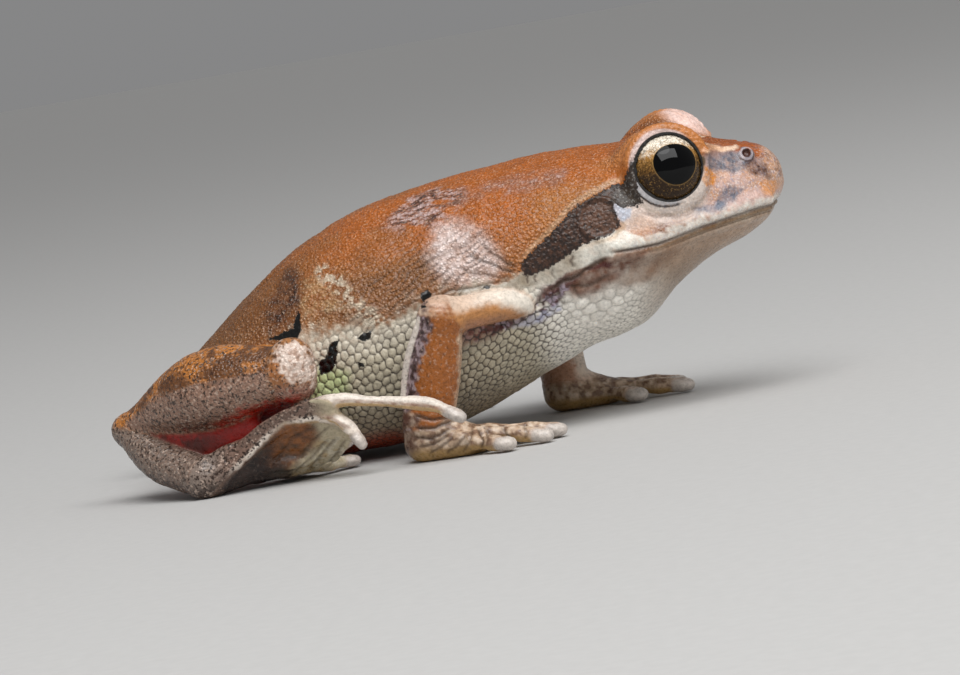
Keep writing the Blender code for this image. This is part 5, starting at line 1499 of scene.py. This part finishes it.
skin_mesh.attributes.new("tint", "FLOAT_COLOR", "POINT").data.foreach_set("color", rgba.ravel())
skin_mesh.materials.append(skin_material)
skin_mesh.shade_smooth()
skin = bpy.data.objects.new("skin", skin_mesh)
bpy.context.scene.collection.objects.link(skin)
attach(skin, "root")
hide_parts(*[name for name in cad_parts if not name.startswith("eye_")])


# Eyes: glass balls behind the lids. A gold iris, paler above and bronze below, lies under a clear wet
# cornea that swells a little over it, with a black pupil that looks a little ahead.
EYE_SEGMENTS, EYE_RINGS = 96, 64
CORNEA_SWELL, CORNEA_WIDE = 0.09, 1.9
IRIS_RADIUS, IRIS_UP, PUPIL_RADIUS, PUPIL_AHEAD, PUPIL_UP = 2.0, 0.03, 1.24, 0.27, 0.03


def eye_mesh(name):
    """A ball with its pole along the way that it looks, swollen there as a cornea is."""
    turns = np.linspace(0, math.pi, EYE_RINGS + 1)[1:-1]
    around_it = np.arange(EYE_SEGMENTS) * 2 * math.pi / EYE_SEGMENTS
    rings = []
    for turn in turns:
        radius, height = EYE_RADIUS * math.sin(turn), EYE_RADIUS * math.cos(turn)
        if height > 0:
            height += CORNEA_SWELL * float(1 - rise(radius, CORNEA_WIDE * 0.2, CORNEA_WIDE))
        rings.append(np.column_stack([np.cos(around_it) * radius, np.sin(around_it) * radius,
                                      np.full(EYE_SEGMENTS, height)]))
    points, quads, caps = lofted(rings, (0, 0, EYE_RADIUS + CORNEA_SWELL), (0, 0, -EYE_RADIUS))
    mesh = bpy.data.meshes.new(name)
    mesh.from_pydata((points * MM).tolist(), [], quads[:, ::-1].tolist() + caps[:, ::-1].tolist())
    mesh.validate()
    mesh.shade_smooth()
    return mesh


eye_material, tree, shader, place = new_material("eye_glass")
split = new_node(tree, "ShaderNodeSeparateXYZ", (place,)).outputs
raised = sums(tree, split[1], IRIS_UP, "SUBTRACT")
squares = sums(tree, sums(tree, split[0], split[0]), sums(tree, raised, raised), "ADD")
radius = sums(tree, squares, 0.5, "POWER")
on = sums(tree, split[0], PUPIL_AHEAD, "SUBTRACT")
down = sums(tree, split[1], PUPIL_UP, "SUBTRACT")
narrow = sums(tree, sums(tree, down, -0.09), 1.0, "ADD")
on = sums(tree, on, narrow)
down = sums(tree, down, 1.06)
squares = sums(tree, sums(tree, on, on), sums(tree, down, down), "ADD")
pupil = sums(tree, squares, 0.5, "POWER")
streaks = clouds(tree, place, Scale=4.0, Detail=6.0, Roughness=0.75)
# The iris is paler above and darker below, partly its own colour and partly painted light from above.
lit = sums(tree, sums(tree, split[1], 0.72), sums(tree, split[0], -0.04), "ADD")
lit = sums(tree, lit, sums(tree, sums(tree, streaks, 0.5, "SUBTRACT"), 1.5), "ADD")
colour = blended(tree, ranged(tree, lit, -0.2, 0.6, 0.0, 1.0), (0.035, 0.018, 0.008), (0.46, 0.23, 0.06))
paint(ranged(tree, lit, 0.5, 0.95, 0.0, 1.0), (0.97, 0.88, 0.74))
paint(sums(tree, flecked(tree, place, 9.0, 0.40, 0.04), 0.6), (0.42, 0.24, 0.07))
veins = new_node(tree, "ShaderNodeTexVoronoi", {"Vector": place, "Scale": 5.5}, feature="DISTANCE_TO_EDGE")
on_vein = ranged(tree, veins.outputs["Distance"], 0.0, 0.16, 1.0, 0.0)
veined = sums(tree, on_vein, flecked(tree, place, 1.6, 0.56, 0.08))
paint(sums(tree, veined, 0.65), (0.03, 0.016, 0.007))
paint(sums(tree, flecked(tree, place, 11.0, 0.41, 0.04), 0.55), (0.02, 0.012, 0.006))
outer_shade = ranged(tree, radius, IRIS_RADIUS - 0.35, IRIS_RADIUS, 0.0, 0.6)
paint(outer_shade, (0.09, 0.055, 0.02))
pupil_rim = ranged(tree, pupil, PUPIL_RADIUS + 0.02, PUPIL_RADIUS + 0.08, 0.35, 0.0)
paint(pupil_rim, (0.50, 0.30, 0.10))
hole = ranged(tree, pupil, PUPIL_RADIUS - 0.02, PUPIL_RADIUS + 0.02, 1.0, 0.0)
paint(hole, (0.001, 0.001, 0.0012))
ring = ranged(tree, radius, IRIS_RADIUS - 0.02, IRIS_RADIUS + 0.02, 0.0, 1.0)
paint(ring, (0.008, 0.007, 0.006))
tree.links.new(colour, shader.inputs["Base Color"])
shader.inputs["Roughness"].default_value = 0.5
shader.inputs["Specular IOR Level"].default_value = 0.0
shader.inputs["Coat Weight"].default_value = 1.0
shader.inputs["Coat Roughness"].default_value = 0.02
shader.inputs["Coat IOR"].default_value = 1.3
fibres = new_node(tree, "ShaderNodeBump", {"Strength": 0.35, "Distance": 0.00003, "Height": streaks})
tree.links.new(fibres.outputs[0], shader.inputs["Normal"])

for side, name in ((RIGHT, "eye_right"), (LEFT, "eye_left")):
    centre = side_of(EYE_CENTRE, side)
    facing = Vector(leaned(centre + eye_axis(side)) - leaned(centre))
    up = (Vector((0, 0, 1)) - facing.z * facing).normalized()
    ahead_way = up.cross(facing)
    if ahead_way.x < 0:
        ahead_way = -ahead_way
    mesh = eye_mesh(name + "_ball")
    mesh.materials.append(eye_material)
    turned = Matrix((ahead_way, up, facing)).transposed()
    if turned.determinant() < 0:
        mesh.flip_normals()
    turned = turned.to_4x4()
    turned.translation = Vector(in_frame(leaned(centre)))
    eye = bpy.data.objects.new(name + "_ball", mesh)
    eye.matrix_world = turned
    bpy.context.scene.collection.objects.link(eye)
    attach(eye, "root")
    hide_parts(name)
